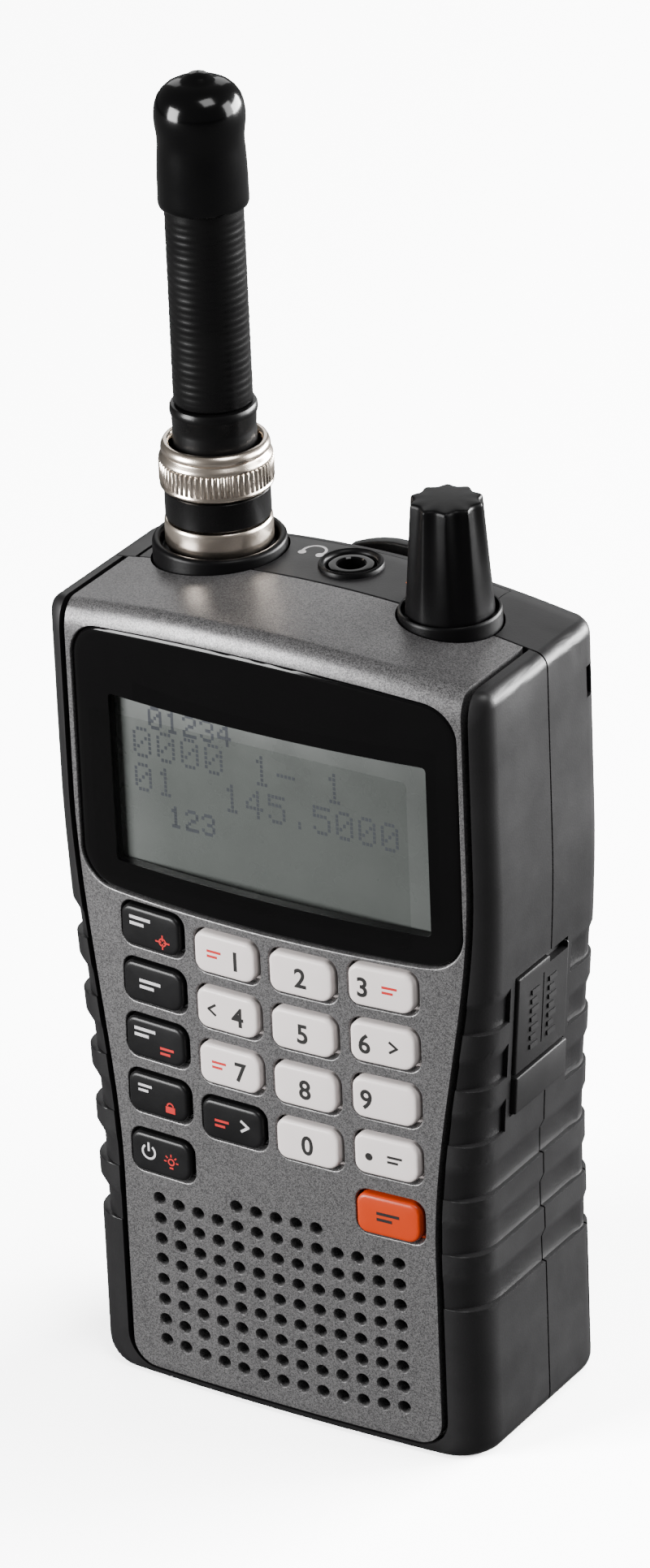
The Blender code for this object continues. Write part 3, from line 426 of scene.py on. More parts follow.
@dataclass
class CaseForm:
    """The curves that every piece of the case shares, in millimetres.

    Attributes:
        height: Height of the case.
        depth: Its depth from front to back.
        half_top: Half its width above the waist.
        half_bottom: Half its width at the foot.
        seam: y of the joint between the two halves.
        crown: Radius of the arched top.
        bow_low: How strongly the front bows at the foot.
        bow_high: How strongly it bows at the display.
        edge_side: Rounding of the front corners beside the display.
        edge_more: How much rounder they are at the foot.
    """

    height: float = 115.0
    depth: float = 32.5
    half_top: float = 33.3
    half_bottom: float = 30.5
    waist: Flat = (34.0, 86.0)
    seam: float = 1.6
    crown: float = 180.0
    shoulder_r: float = 2.0
    foot_r: float = 3.0
    edge_side: float = 3.0
    edge_more: float = 2.2
    edge_top: float = 3.6
    edge_foot: float = 0.7
    edge_depth: float = 3.4
    rear_side: float = 6.0
    rear_top: float = 2.2
    rear_depth: float = 5.0
    bow_low: float = 0.0012
    bow_high: float = 0.0024
    gap: float = 0.3

    @property
    def front(self) -> float:
        """y of the front's middle line."""
        return -self.depth / 2

    @property
    def rear(self) -> float:
        """y of the back."""
        return self.depth / 2

    def half_width(self, z: float) -> float:
        """Half the case's width at height z."""
        return self.half_bottom + (self.half_top - self.half_bottom) * smoothstep(*self.waist, z)

    def panel_half(self, z: float) -> float:
        """Half the painted panel's width at height z."""
        return 24.1 + 5.7 * smoothstep(30.0, 86.0, z)

    def bow(self, x: float, z: float) -> float:
        """How far the convex front stands back at x."""
        return (self.bow_low + (self.bow_high - self.bow_low) * smoothstep(30.0, 80.0, z)) * x * x

    def front_at(self, x: float, z: float) -> float:
        """y of the panel's outer face at x and z."""
        return self.front + self.bow(x, z)

    def front_normal(self, x: float, z: float) -> Vector:
        """The outward normal of the panel's face at x and z."""
        step = 0.05
        dx = (self.bow(x + step, z) - self.bow(x - step, z)) / (2 * step)
        dz = (self.bow(x, z + step) - self.bow(x, z - step)) / (2 * step)
        return Vector((dx, -1.0, dz)).normalized()

    def top_at(self, x: float) -> float:
        """Height of the arched top at x."""
        return self.height - x * x / (2.0 * self.crown)

    def outline(self) -> list[Flat]:
        """The case seen from the front."""
        low = self.half_width(0.0) - self.foot_r
        right = [(x, 0.0) for x in run(0.5, low, 10)[:-1]] + arc(low, self.foot_r, self.foot_r, -90.0, 0.0, 8)
        right += [(self.half_width(z), z) for z in run(6.0, 106.0, 50)]
        shoulder = self.half_top - self.shoulder_r
        centre = self.top_at(shoulder) - self.shoulder_r
        right += arc(shoulder, centre, self.shoulder_r, 0.0, 82.0, 12)
        right += [(x, self.top_at(x)) for x in run(27.0, 0.5, 11)]
        return mirrored(right)

    def rounder(self, z: float) -> float:
        """How much rounder the front corners are at height z than beside the display."""
        return self.edge_more * (1.0 - smoothstep(15.0, 95.0, z))

    def shrunk(self, side: float, top: float, foot: float, more: float = 0.0) -> list[Flat]:
        """The outline drawn in by a different amount at its sides, top and foot, and more at its lower corners."""
        up = (self.height - top - foot) / self.height
        return [(x * (1.0 - (side + more * self.rounder(z)) / self.half_top), foot + z * up) for x, z in self.outline()]

    def bent(self, point: Point) -> Point:
        """A point of a flat-fronted shape moved onto the convex front."""
        x, y, z = point
        flat = self.seam - 1.0
        reach = (flat - y) / (flat - self.front - self.edge_depth)
        return (x, y + self.bow(x, z) * min(max(reach, 0.0), 1.0), z)

    def half(self, name: str, which: Half, inset: float, end: float, foot: float | None = None) -> bpy.types.Object:
        """One half of the case as a solid, drawn in all round.

        Args:
            name: The object's name.
            which: The front or the rear half.
            inset: How far it is drawn in.
            end: y where it ends.
            foot: How far it is drawn in at the foot, if that differs.

        Returns:
            The solid.
        """
        foot = inset if foot is None else foot
        side, top, depth, face, inward, more = self.edge_side, self.edge_top, self.edge_depth, self.front, 1.0, 1.0
        if which is Half.REAR:
            side, top, depth, face, inward, more = self.rear_side, self.rear_top, self.rear_depth, self.rear, -1.0, 0.0
        flat = self.shrunk(inset + side, inset + top, foot + self.edge_foot, more)
        middle = self.height / 2
        rings = []
        for scale in run(0.03, 0.97, 14):
            rings.append([(x * scale, face + inward * inset, middle + (z - middle) * scale) for x, z in flat])
        deep = [depth + more * (self.rounder(z) - 0.8) for _, z in self.outline()]
        for step in range(9):
            angle = math.radians(11.25 * step)
            keep, turn = 1.0 - math.sin(angle), 1.0 - math.cos(angle)
            ring = self.shrunk(inset + side * keep, inset + top * keep, foot + self.edge_foot * keep, more * keep)
            rings.append([(x, face + inward * (inset + d * turn), z) for (x, z), d in zip(ring, deep)])
        last = self.shrunk(inset, inset, foot)
        for share in run(0.0, 1.0, 6)[1:]:
            rings.append([(x, (face + inward * (inset + d)) * (1.0 - share) + end * share, z) for (x, z), d in zip(last, deep)])
        if which is Half.FRONT:
            rings = [[self.bent(point) for point in ring] for ring in rings]
            level = sum(y for _, y, _ in rings[0]) / len(rings[0])
            rings[0] = [(x, level, z) for x, _, z in rings[0]]
        return loft(name, rings)

    def section(self, z: float, inset: float, corner: float) -> list[Flat]:
        """The right side of a level cut through the case, as (x, y) from front to back.

        Args:
            z: Height of the cut.
            inset: How far the side is drawn in.
            corner: Extra rounding of the front and rear corners.

        Returns:
            The points.
        """
        side = self.half_width(z) - inset
        front = self.front + self.bow(self.half_width(z) - 4.0, z)
        reach = self.edge_side + self.rounder(z) + corner
        depth = self.edge_depth + 0.2 + self.rounder(z) + corner
        points = []
        for i in range(9):
            angle = math.radians(90.0 * i / 8)
            points.append((side - reach * (1.0 - math.sin(angle)), front + depth * (1.0 - math.cos(angle)) - 0.05))
        points += [(side, self.seam), (side, self.rear - self.rear_depth - 1.0 - corner)]
        for i in range(9):
            angle = math.radians(90.0 * i / 8)
            reach, depth = self.rear_side + 0.3 * corner, self.rear_depth + 0.3 * corner
            back = side + 0.4 * max(inset, 0.0)
            points.append((back - reach * (1.0 - math.cos(angle)), self.rear - depth * (1.0 - math.sin(angle)) + 0.05))
        return points


FORM = CaseForm()


# ---------------------------------------------------------------- meshes


def mesh_object(name: str, verts: Iterable[Point], faces: Iterable[Sequence[int]]) -> bpy.types.Object:
    """A mesh from points in millimetres, with its faces turned outwards.

    Args:
        name: The object's name.
        verts: Its points.
        faces: Its faces.

    Returns:
        The object, at the origin.
    """
    data = bpy.data.meshes.new(name)
    data.from_pydata([Vector(v) * MM for v in verts], [], list(faces))
    work = bmesh.new()
    work.from_mesh(data)
    bmesh.ops.recalc_face_normals(work, faces=work.faces)
    if work.calc_volume(signed=True) < 0.0:
        bmesh.ops.reverse_faces(work, faces=work.faces)
    work.to_mesh(data)
    work.free()
    obj = bpy.data.objects.new(name, data)
    bpy.context.scene.collection.objects.link(obj)
    return obj


def loft(name: str, rings: Sequence[Sequence[Point]], loop: bool = False) -> bpy.types.Object:
    """A body through rings of equal length, capped at its ends or closed on itself.

    Args:
        name: The object's name.
        rings: The rings.
        loop: True joins the last ring to the first, as for a tube's wall.

    Returns:
        The object.
    """
    count = len(rings[0])
    verts = [point for ring in rings for point in ring]
    faces: list[Sequence[int]] = []
    if not loop:
        faces = [tuple(range(count)), tuple(range(len(verts) - count, len(verts)))]
    levels = len(rings) if loop else len(rings) - 1
    for level in range(levels):
        low = level * count
        high = (level + 1) % len(rings) * count
        for i in range(count):
            j = (i + 1) % count
            faces.append((low + i, low + j, high + j, high + i))
    return mesh_object(name, verts, faces)


def circle(cx: float, cy: float, z: float, radius: float, sides: int) -> list[Point]:
    """A ring of points round an upright axis."""
    return [(cx + radius * math.cos(2 * math.pi * i / sides), cy + radius * math.sin(2 * math.pi * i / sides), z) for i in range(sides)]


def turned(name: str, cx: float, cy: float, profile: Sequence[Flat], sides: int = 64, loop: bool = False) -> bpy.types.Object:
    """A body turned round an upright axis, from (radius, height) pairs.

    Args:
        name: The object's name.
        cx: Axis.
        cy: Axis.
        profile: The pairs.
        sides: Its sides.
        loop: True for a tube, whose profile returns down the inside.

    Returns:
        The object.
    """
    return loft(name, [circle(cx, cy, z, radius, sides) for radius, z in profile], loop)


def prism(name: str, outline: Sequence[Flat], y0: float, y1: float) -> bpy.types.Object:
    """A slab with an outline in x and z, from y0 back to y1."""
    return loft(name, [[(x, y, z) for x, z in outline] for y in (y0, y1)])


def block(name: str, low: Point, high: Point) -> bpy.types.Object:
    """An upright block between two corners, used as a tool."""
    (x0, y0, z0), (x1, y1, z1) = low, high
    return loft(name, [[(x0, y0, z), (x1, y0, z), (x1, y1, z), (x0, y1, z)] for z in (z0, z1)])


def apply_all(obj: bpy.types.Object) -> bpy.types.Object:
    """Replaces the object's mesh by what its modifiers make of it.

    Args:
        obj: The object.

    Returns:
        The same object, with no modifiers.
    """
    graph = bpy.context.evaluated_depsgraph_get()
    graph.update()
    made = bpy.data.meshes.new_from_object(obj.evaluated_get(graph))
    obj.modifiers.clear()
    obj.data = made
    made.name = obj.name
    return obj


def carve(target: bpy.types.Object, tools: Sequence[bpy.types.Object], operation: str = "DIFFERENCE") -> bpy.types.Object:
    """Cuts, joins or keeps the shared part of a target and tools, in order.

    Args:
        target: What is worked on.
        tools: The other solids, which stay.
        operation: DIFFERENCE, UNION or INTERSECT.

    Returns:
        The target with the result in its mesh.
    """
    for tool in tools:
        modifier = target.modifiers.new(tool.name, "BOOLEAN")
        modifier.object = tool
        modifier.operation = operation
        modifier.solver = "EXACT"
    return apply_all(target)


def discard(objects: Iterable[bpy.types.Object]) -> None:
    """Removes tools that are no longer needed."""
    for obj in list(objects):
        bpy.data.objects.remove(obj, do_unlink=True)


def dress(obj: bpy.types.Object, finishes: Sequence[Finish | Readout | ClearPane]) -> bpy.types.Object:
    """Gives a mesh its materials in slot order.

    Args:
        obj: The piece.
        finishes: One finish for each slot.

    Returns:
        The piece.
    """
    obj.data.materials.clear()
    for finish in finishes:
        obj.data.materials.append(finish.material())
    return obj


def soften(obj: bpy.types.Object, angle: float = 35.0) -> bpy.types.Object:
    """Smooth shading with creases where faces meet at more than an angle."""
    obj.data.shade_smooth()
    obj.data.set_sharp_from_angle(angle=math.radians(angle))
    return obj


def rounded(obj: bpy.types.Object, width: float, segments: int = 2, angle: float = 40.0) -> bpy.types.Object:
    """Rounds a mesh's sharp edges.

    Args:
        obj: The piece.
        width: Size of the rounding in millimetres.
        segments: Faces across it.
        angle: Edges sharper than this are rounded.

    Returns:
        The piece.
    """
    modifier = obj.modifiers.new("edge", "BEVEL")
    modifier.width = width * MM
    modifier.segments = segments
    modifier.limit_method = "ANGLE"
    modifier.angle_limit = math.radians(angle)
    modifier.harden_normals = False
    return apply_all(obj)


def follow(obj: bpy.types.Object, guides: Sequence[bpy.types.Object], near: float = 0.03) -> bpy.types.Object:
    """Shades a cut piece like the whole surface it was cut from.

    Args:
        obj: The cut piece.
        guides: The uncut surfaces.
        near: How close a corner has to be, in millimetres.

    Returns:
        The piece, with its own normals where it left those surfaces.
    """
    soften(obj, 30.0)
    data = obj.data
    trees = []
    for guide in guides:
        guide.data.shade_smooth()
        trees.append((BVHTree.FromPolygons([v.co for v in guide.data.vertices], [p.vertices for p in guide.data.polygons]), guide.data))
    normals = [Vector(n.vector) for n in data.corner_normals]
    for face in data.polygons:
        for index in face.loop_indices:
            spot = data.vertices[data.loops[index].vertex_index].co
            for tree, guide in trees:
                hit, _, number, distance = tree.find_nearest(spot)
                if hit is None or distance > near * MM:
                    continue
                polygon = guide.polygons[number]
                if polygon.normal.dot(face.normal) < 0.8:
                    continue
                total = Vector((0.0, 0.0, 0.0))
                for corner in polygon.vertices:
                    vertex = guide.vertices[corner]
                    total += vertex.normal / max((vertex.co - hit).length, 1e-6)
                normals[index] = total.normalized()
                break
    data.normals_split_custom_set([tuple(n) for n in normals])
    return obj


def finish_piece(obj: bpy.types.Object, body: str, slot: str, *nodes: str) -> bpy.types.Object:
    """Parents a finished piece to its body and hides the CAD nodes it stands for.

    Args:
        obj: The piece.
        body: The body it moves with.
        slot: Not used.
        *nodes: The CAD nodes it stands for.

    Returns:
        The piece.
    """
    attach(obj, body)
    if nodes:
        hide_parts(*nodes)
    LOG.info("%s: %d faces on %s", obj.name, len(obj.data.polygons), body)
    return obj


def joined(name: str, pieces: Sequence[bpy.types.Object]) -> bpy.types.Object:
    """One mesh made of several, which keeps each one's materials.

    Args:
        name: The new object's name.
        pieces: The objects, which are removed.

    Returns:
        The object.
    """
    work = bmesh.new()
    slots: list[bpy.types.Material] = []
    for piece in pieces:
        base = len(work.faces)
        work.from_mesh(piece.data)
        work.faces.ensure_lookup_table()
        order = []
        for material in piece.data.materials:
            if material not in slots:
                slots.append(material)
            order.append(slots.index(material))
        for number in range(base, len(work.faces)):
            face = work.faces[number]
            face.material_index = order[min(face.material_index, len(order) - 1)] if order else 0
    data = bpy.data.meshes.new(name)
    work.to_mesh(data)
    work.free()
    for material in slots:
        data.materials.append(material)
    obj = bpy.data.objects.new(name, data)
    bpy.context.scene.collection.objects.link(obj)
    discard(pieces)
    return obj


class Repeater:
    """A node tree that sets one tool on every point of a mesh: its Z faces out, and its Y stays as upright as it can."""

    def __init__(self) -> None:
        """Builds the tree."""
        tree = bpy.data.node_groups.new("repeat_tool", "GeometryNodeTree")
        face = tree.interface
        face.new_socket("Points", in_out="INPUT", socket_type="NodeSocketGeometry")
        self.tool = face.new_socket("Tool", in_out="INPUT", socket_type="NodeSocketObject").identifier
        self.size = face.new_socket("Size", in_out="INPUT", socket_type="NodeSocketFloat").identifier
        self.paint = face.new_socket("Finish", in_out="INPUT", socket_type="NodeSocketMaterial").identifier
        face.new_socket("Solids", in_out="OUTPUT", socket_type="NodeSocketGeometry")
        add = tree.nodes.new
        start, end = add("NodeGroupInput"), add("NodeGroupOutput")
        info, named = add("GeometryNodeObjectInfo"), add("GeometryNodeInputNamedAttribute")
        named.data_type = "FLOAT_VECTOR"
        named.inputs["Name"].default_value = "facing"
        turn = add("FunctionNodeAlignRotationToVector")
        turn.axis = "Z"
        level = add("FunctionNodeAlignRotationToVector")
        level.axis, level.pivot_axis = "Y", "Z"
        level.inputs["Vector"].default_value = (0.0, 0.0, 1.0)
        place, real, paint = add("GeometryNodeInstanceOnPoints"), add("GeometryNodeRealizeInstances"), add("GeometryNodeSetMaterial")
        link = tree.links.new
        link(start.outputs["Points"], place.inputs["Points"])
        link(start.outputs["Tool"], info.inputs["Object"])
        link(info.outputs["Geometry"], place.inputs["Instance"])
        link(named.outputs[0], turn.inputs["Vector"])
        link(turn.outputs["Rotation"], level.inputs["Rotation"])
        link(level.outputs["Rotation"], place.inputs["Rotation"])
        link(start.outputs["Size"], place.inputs["Scale"])
        link(place.outputs["Instances"], real.inputs["Geometry"])
        link(real.outputs["Geometry"], paint.inputs["Geometry"])
        link(start.outputs["Finish"], paint.inputs["Material"])
        link(paint.outputs["Geometry"], end.inputs["Solids"])
        self.tree = tree

    def repeat(self, name: str, tool: bpy.types.Object, places: Sequence[tuple[Point, Vector]], finish: Finish) -> bpy.types.Object:
        """Sets the tool on each place.

        Args:
            name: The result's name.
            tool: The solid that is repeated, which is removed.
            places: Each copy's point in millimetres, and where its Z axis points.
            finish: The finish of the copies.

        Returns:
            A plain mesh of all the copies.
        """
        data = bpy.data.meshes.new(name)
        data.from_pydata([Vector(p) * MM for p, _ in places], [], [])
        facing = data.attributes.new("facing", "FLOAT_VECTOR", "POINT")
        facing.data.foreach_set("vector", [c for _, n in places for c in n])
        obj = bpy.data.objects.new(name, data)
        bpy.context.scene.collection.objects.link(obj)
        modifier = obj.modifiers.new("repeat", "NODES")
        modifier.node_group = self.tree
        modifier[self.tool] = tool
        modifier[self.size] = 1.0
        modifier[self.paint] = finish.material()
        apply_all(obj)
        discard([tool])
        return obj


REPEAT = Repeater()


# ---------------------------------------------------------------- print on the surfaces


def print_on_front(name: str, outlines: Sequence[Sequence[Flat]], lift: float, level: float, finish: Finish) -> bpy.types.Object:
    """Thin printed shapes that lie on the convex front.

    Args:
        name: The object's name.
        outlines: Outlines in x and z.
        lift: Thickness of the print in millimetres.
        level: How far the printed face stands in front of the panel's.
        finish: The ink.

    Returns:
        The mesh.
    """
    verts: list[Point] = []
    faces: list[Sequence[int]] = []
    for outline in outlines:
        start, count = len(verts), len(outline)
        for depth in (-level - lift, -level + lift):
            verts += [(x, FORM.front_at(x, z) + depth, z) for x, z in outline]
        faces += [tuple(range(start, start + count)), tuple(range(start + count, start + 2 * count))]
        faces += [(start + i, start + (i + 1) % count, start + count + (i + 1) % count, start + count + i) for i in range(count)]
    obj = mesh_object(name, verts, faces)
    return dress(obj, [finish])


def digit_outline(name: str, text: str, cx: float, cz: float, size: float, level: float, finish: Finish) -> bpy.types.Object:
    """A numeral printed on the convex front.

    Args:
        name: The object's name.
        text: The numeral.
        cx: Its middle.
        cz: Its middle.
        size: Its height in millimetres.
        level: How far the printed face stands in front of the panel's.
        finish: The ink.

    Returns:
        The mesh.
    """
    curve = bpy.data.curves.new(name, "FONT")
    curve.body = text
    curve.align_x = "CENTER"
    curve.align_y = "CENTER"
    curve.size = size * 1.38 * MM
    curve.extrude = 0.02 * MM
    curve.offset = 0.00008
    curve.resolution_u = 4
    obj = bpy.data.objects.new(name, curve)
    bpy.context.scene.collection.objects.link(obj)
    graph = bpy.context.evaluated_depsgraph_get()
    data = bpy.data.meshes.new_from_object(obj.evaluated_get(graph))
    bpy.data.objects.remove(obj)
    low = min(v.co.y for v in data.vertices)
    high = max(v.co.y for v in data.vertices)
    for vertex in data.vertices:
        x = cx + vertex.co.x / MM * 0.95
        z = cz + (vertex.co.y - (low + high) / 2) / MM
        y = FORM.front_at(x, z) - level - vertex.co.z / MM
        vertex.co = Vector((x, y, z)) * MM
    made = bpy.data.objects.new(name, data)
    bpy.context.scene.collection.objects.link(made)
    return dress(made, [finish])


def ring_outline(cx: float, cz: float, outer: float, inner: float, start: float = 0.0, end: float = 360.0) -> list[Flat]:
    """A flat band along an arc, as one outline."""
    return arc(cx, cz, outer, start, end, 20) + arc(cx, cz, inner, end, start, 20)


def bar_outline(x0: float, z0: float, x1: float, z1: float, width: float) -> list[Flat]:
    """A straight stroke as an outline."""
    along = Vector((x1 - x0, z1 - z0)).normalized()
    side = Vector((-along.y, along.x)) * width / 2
    return [(x0 + side.x, z0 + side.y), (x0 - side.x, z0 - side.y), (x1 - side.x, z1 - side.y), (x1 + side.x, z1 + side.y)]


class Sign(Enum):
    """The plain signs that stand where a key has a word or a pictogram."""

    TARGET = "target"
    PADLOCK = "padlock"
    POWER = "power"
    LAMP = "lamp"
    LESS = "less"
    MORE = "more"
    DOT = "dot"
    DASHES = "dashes"
    SHORT = "short"
    WAVE = "wave"

    def outlines(self, x: float, z: float) -> list[list[Flat]]:
        """The sign's outlines round a middle point, in millimetres."""
        table = {
            Sign.TARGET: [ring_outline(x, z, 0.62, 0.42), bar_outline(x - 1.15, z, x - 0.2, z, 0.22),
                          bar_outline(x + 0.2, z, x + 1.15, z, 0.22), bar_outline(x, z - 1.05, x, z - 0.2, 0.22),
                          bar_outline(x, z + 0.2, x, z + 1.05, 0.22)],
            Sign.PADLOCK: [[(x - 0.75, z - 0.85), (x + 0.75, z - 0.85), (x + 0.75, z + 0.1), (x - 0.75, z + 0.1)],
                           ring_outline(x, z + 0.15, 0.58, 0.36, 0.0, 180.0)],
            Sign.POWER: [ring_outline(x, z, 1.15, 0.85, 125.0, 415.0), bar_outline(x, z + 0.1, x, z + 1.4, 0.3)],
            Sign.LAMP: [ring_outline(x, z + 0.1, 0.55, 0.34), bar_outline(x - 0.3, z - 0.8, x + 0.3, z - 0.8, 0.25)]
            + [bar_outline(x + 0.75 * math.cos(a), z + 0.1 + 0.75 * math.sin(a), x + 1.15 * math.cos(a), z + 0.1 + 1.15 * math.sin(a), 0.2)
               for a in (0.0, 0.75, 1.57, 2.4, 3.14)],
            Sign.LESS: [bar_outline(x + 0.6, z + 0.8, x - 0.65, z - 0.08, 0.36), bar_outline(x - 0.65, z + 0.08, x + 0.6, z - 0.8, 0.36)],
            Sign.MORE: [bar_outline(x - 0.6, z + 0.8, x + 0.65, z - 0.08, 0.36), bar_outline(x + 0.65, z + 0.08, x - 0.6, z - 0.8, 0.36)],
            Sign.DOT: [arc(x, z, 0.55, 0.0, 345.0, 23)],
            Sign.DASHES: [bar_outline(x - 1.7, z + 0.5, x + 1.7, z + 0.5, 0.45), bar_outline(x - 1.7, z - 0.4, x + 0.6, z - 0.4, 0.45)],
            Sign.SHORT: [bar_outline(x - 1.1, z + 0.4, x + 1.1, z + 0.4, 0.36), bar_outline(x - 1.1, z - 0.35, x + 0.5, z - 0.35, 0.36)],
            Sign.WAVE: [
                bar_outline(x - 1.2 + 0.8 * i, z - 0.4 + 0.8 * (i % 2), x - 0.4 + 0.8 * i, z + 0.4 - 0.8 * (i % 2), 0.26)
                for i in range(3)
            ],
        }
        return table[self]


# ---------------------------------------------------------------- sub-assemblies


@dataclass
class Case:
    """The two halves, the painted panel, the top strip, the battery door and the side cover.

    Attributes:
        form: The shared curves.
        panel_foot: Height of the panel's foot.
        groove: Width of the dark line round the panel.
        wall: Thickness of the panel.
        lens: Half width, foot, head and corner radius of the display's lens.
        hole_pitch: Pitch of the speaker holes.
        hole_r: Radius of a speaker hole.
        ribs: Foot of the lowest grip notch, pitch, depth, height of its flat, height of its ramp.
        cover: y from, y to, foot, fold and head of the side cover.
        collar: x, y and radius of the antenna's collar.
        knob: x, y and radius of the knob's collar.
        jack: x, y and radius of the headphone ring.
        strip: x from, x to and y to of the inset strip on top.
    """

    form: CaseForm = field(default_factory=lambda: FORM)
    panel_foot: float = 1.6
    groove: float = 0.95
    wall: float = 1.8
    lens: tuple[float, float, float, float] = (28.9, 72.4, 111.6, 5.0)
    hole_pitch: float = 3.1
    hole_r: float = 0.85
    ribs: tuple[float, float, float, float, float] = (22.9, 8.2, 0.6, 3.6, 1.8)
    cover: tuple[float, float, float, float, float] = (-7.2, 5.6, 49.4, 54.9, 69.5)
    collar: Point = (-18.6, 6.3, 8.85)
    knob: Point = (18.6, 2.4, 6.75)
    jack: Point = (0.4, 8.0, 4.35)
    strip: Point = (-18.6, 21.0, 13.2)

    def panel_outline(self, grow: float, foot: float) -> list[Flat]:
        """The panel's outline, grown at the sides, from its foot to above the case."""
        radius = 3.5 + grow
        low = 24.1 + grow - radius
        right = arc(low, foot + radius, radius, -90.0, 0.0, 8)
        right += [(self.form.panel_half(z) + grow, z) for z in run(6.5, 86.0, 40) + [self.form.height + 5.0]]
        return mirrored(right)

    def lens_outline(self, grow: float) -> list[Flat]:
        """The lens, with an arched head and a foot that follows the rows of keys."""
        edge, foot, head, corner = self.lens
        radius, edge = corner + grow, edge + grow
        right = [(x, foot - grow + 0.0006 * x * x) for x in run(0.5, 23.0, 10)]
        right += arc(edge - radius, foot + 0.4 - grow + radius, radius, -86.0, 0.0, 12)
        right += arc(edge - radius, head - 1.3 + grow - radius, radius, 0.0, 84.0, 12)
        right += [(x, head + grow - 0.0022 * x * x) for x in run(22.0, 0.5, 10)]
        return mirrored(right)

    def mouth(self, name: str, outline: Sequence[Flat], flare: float, deep: float, centre: Flat | None = None) -> bpy.types.Object:
        """A tool that cuts straight in from the front with a flared mouth.

        Args:
            name: The object's name.
            outline: The opening's outline.
            flare: Size of the flare.
            deep: How far it cuts.
            centre: Middle of the opening.

        Returns:
            The tool.
        """
        cx = centre[0] if centre else 0.0
        cz = centre[1] if centre else sum(z for _, z in outline) / len(outline)
        half = max(abs(x - cx) for x, _ in outline)
        tall = max(abs(z - cz) for _, z in outline)
        rings = []
        for out, depth in ((1.6, -1.6), (1.0, 0.0), (0.35, 0.35), (0.0, 1.0), (0.0, deep / max(flare, 0.001))):
            grow = out * flare
            ring = []
            for x, z in outline:
                gx = cx + (x - cx) * (1.0 + grow / half)
                gz = cz + (z - cz) * (1.0 + grow / tall)
                ring.append((gx, self.form.front_at(gx, gz) + depth * flare, gz))
            rings.append(ring)
        rings.insert(0, [(x, self.form.front - 3.0, z) for x, _, z in rings[0]])
        rings.append([(x, self.form.front + deep + 2.0, z) for x, _, z in rings[-1]])
        return loft(name, rings)

    def rib_tools(self) -> list[bpy.types.Object]:
        """The notches of the grip, on both sides, as tools that wrap round the corners."""
        foot0, pitch, depth, flat, ramp = self.ribs
        tools = []
        for rib in range(6):
            foot = foot0 + rib * pitch
            beside = rib >= 3
            levels = (
                (foot - 0.12, -0.1, 0.0), (foot, 0.14, 0.1), (foot + 0.04, depth, 0.9), (foot + flat, depth, 0.7),
                (foot + flat + ramp, -0.15, 0.0)
            )
            for side in (1, -1):
                for part in ((None, None),) if not (beside and side > 0) else ((None, self.cover[0] - 1.3), (self.cover[1] + 1.3, None)):
                    rings = []
                    for z, inset, corner in levels:
                        inner = self.form.section(z, inset, corner)
                        if part[1] is not None:
                            x_at = self.form.half_width(z) - inset
                            inner = [p for p in inner if p[1] < part[1] - 0.2] + [(x_at, part[1])] * 2
                            inner = inner[:9] + [(x_at, part[1])] * 2
                        if part[0] is not None:
                            x_at = self.form.half_width(z) - inset
                            inner = [(x_at, part[0])] + inner[10:]
                        y_low = inner[0][1] - 3.0 if part[0] is None else part[0]
                        y_high = inner[-1][1] + 3.0 if part[1] is None else part[1]
                        if part[1] is not None:
                            inner = inner[:-1]
                        ring = [(inner[0][0], y_low), (40.0, y_low), (40.0, y_high), (inner[-1][0], y_high)]
                        if part[1] is not None:
                            ring = ring[:3]
                        if part[0] is not None:
                            ring = ring[1:]
                        ring += list(reversed(inner))
                        rings.append([(side * x, y, z) for x, y in ring])
                    tools.append(loft(f"tool_rib_{rib}_{side}_{'a' if part[0] is None else 'b'}", rings))
        return tools

    def hole_places(self) -> list[tuple[Point, Vector]]:
        """Every speaker hole: a full block and a short row above its middle."""
        places = []
        for row in range(-1, 8):
            for column in range(-6, 7):
                if row < 0 and abs(column) > 2:
                    continue
                x = column * self.hole_pitch
                z = 27.0 - row * self.hole_pitch + 0.0029 * x * x
                places.append(((x, self.form.front_at(x, z), z), self.form.front_normal(x, z)))
        return places

    def hole_tool(self) -> bpy.types.Object:
        """A drill with a softly flared mouth, pointing along Z."""
        r = self.hole_r
        profile = ((r, -4.0), (r, -0.3), (r + 0.05, -0.14), (r + 0.17, -0.02), (r + 0.36, 0.1), (r + 0.5, 0.6))
        return turned("tool_drill", 0.0, 0.0, profile, 20)

    def shared_tools(self) -> dict[str, bpy.types.Object]:
        """The tools that several pieces of the case are cut with."""
        gap = self.form.gap
        y0, y1, foot, _, head = self.cover
        ax, ay, ar = self.collar
        kx, ky, kr = self.knob
        return {
            "collar": turned("tool_collar", ax, ay, ((ar + gap, 109.0), (ar + gap, 122.0)), 72),
            "knob": turned("tool_knob", kx, ky, ((kr + gap, 109.0), (kr + gap, 122.0)), 64),
            "cover": block("tool_cover", (30.2, y0 - gap, foot - gap), (38.0, y1 + gap, head + gap)),
            "charge": block("tool_charge", (26.0, y0 + 1.4, 59.0), (33.0, -0.6, 65.6)),
            "remote": block("tool_remote", (26.0, 0.1, 59.0), (33.0, y1 - 0.3, 65.6)),
        }

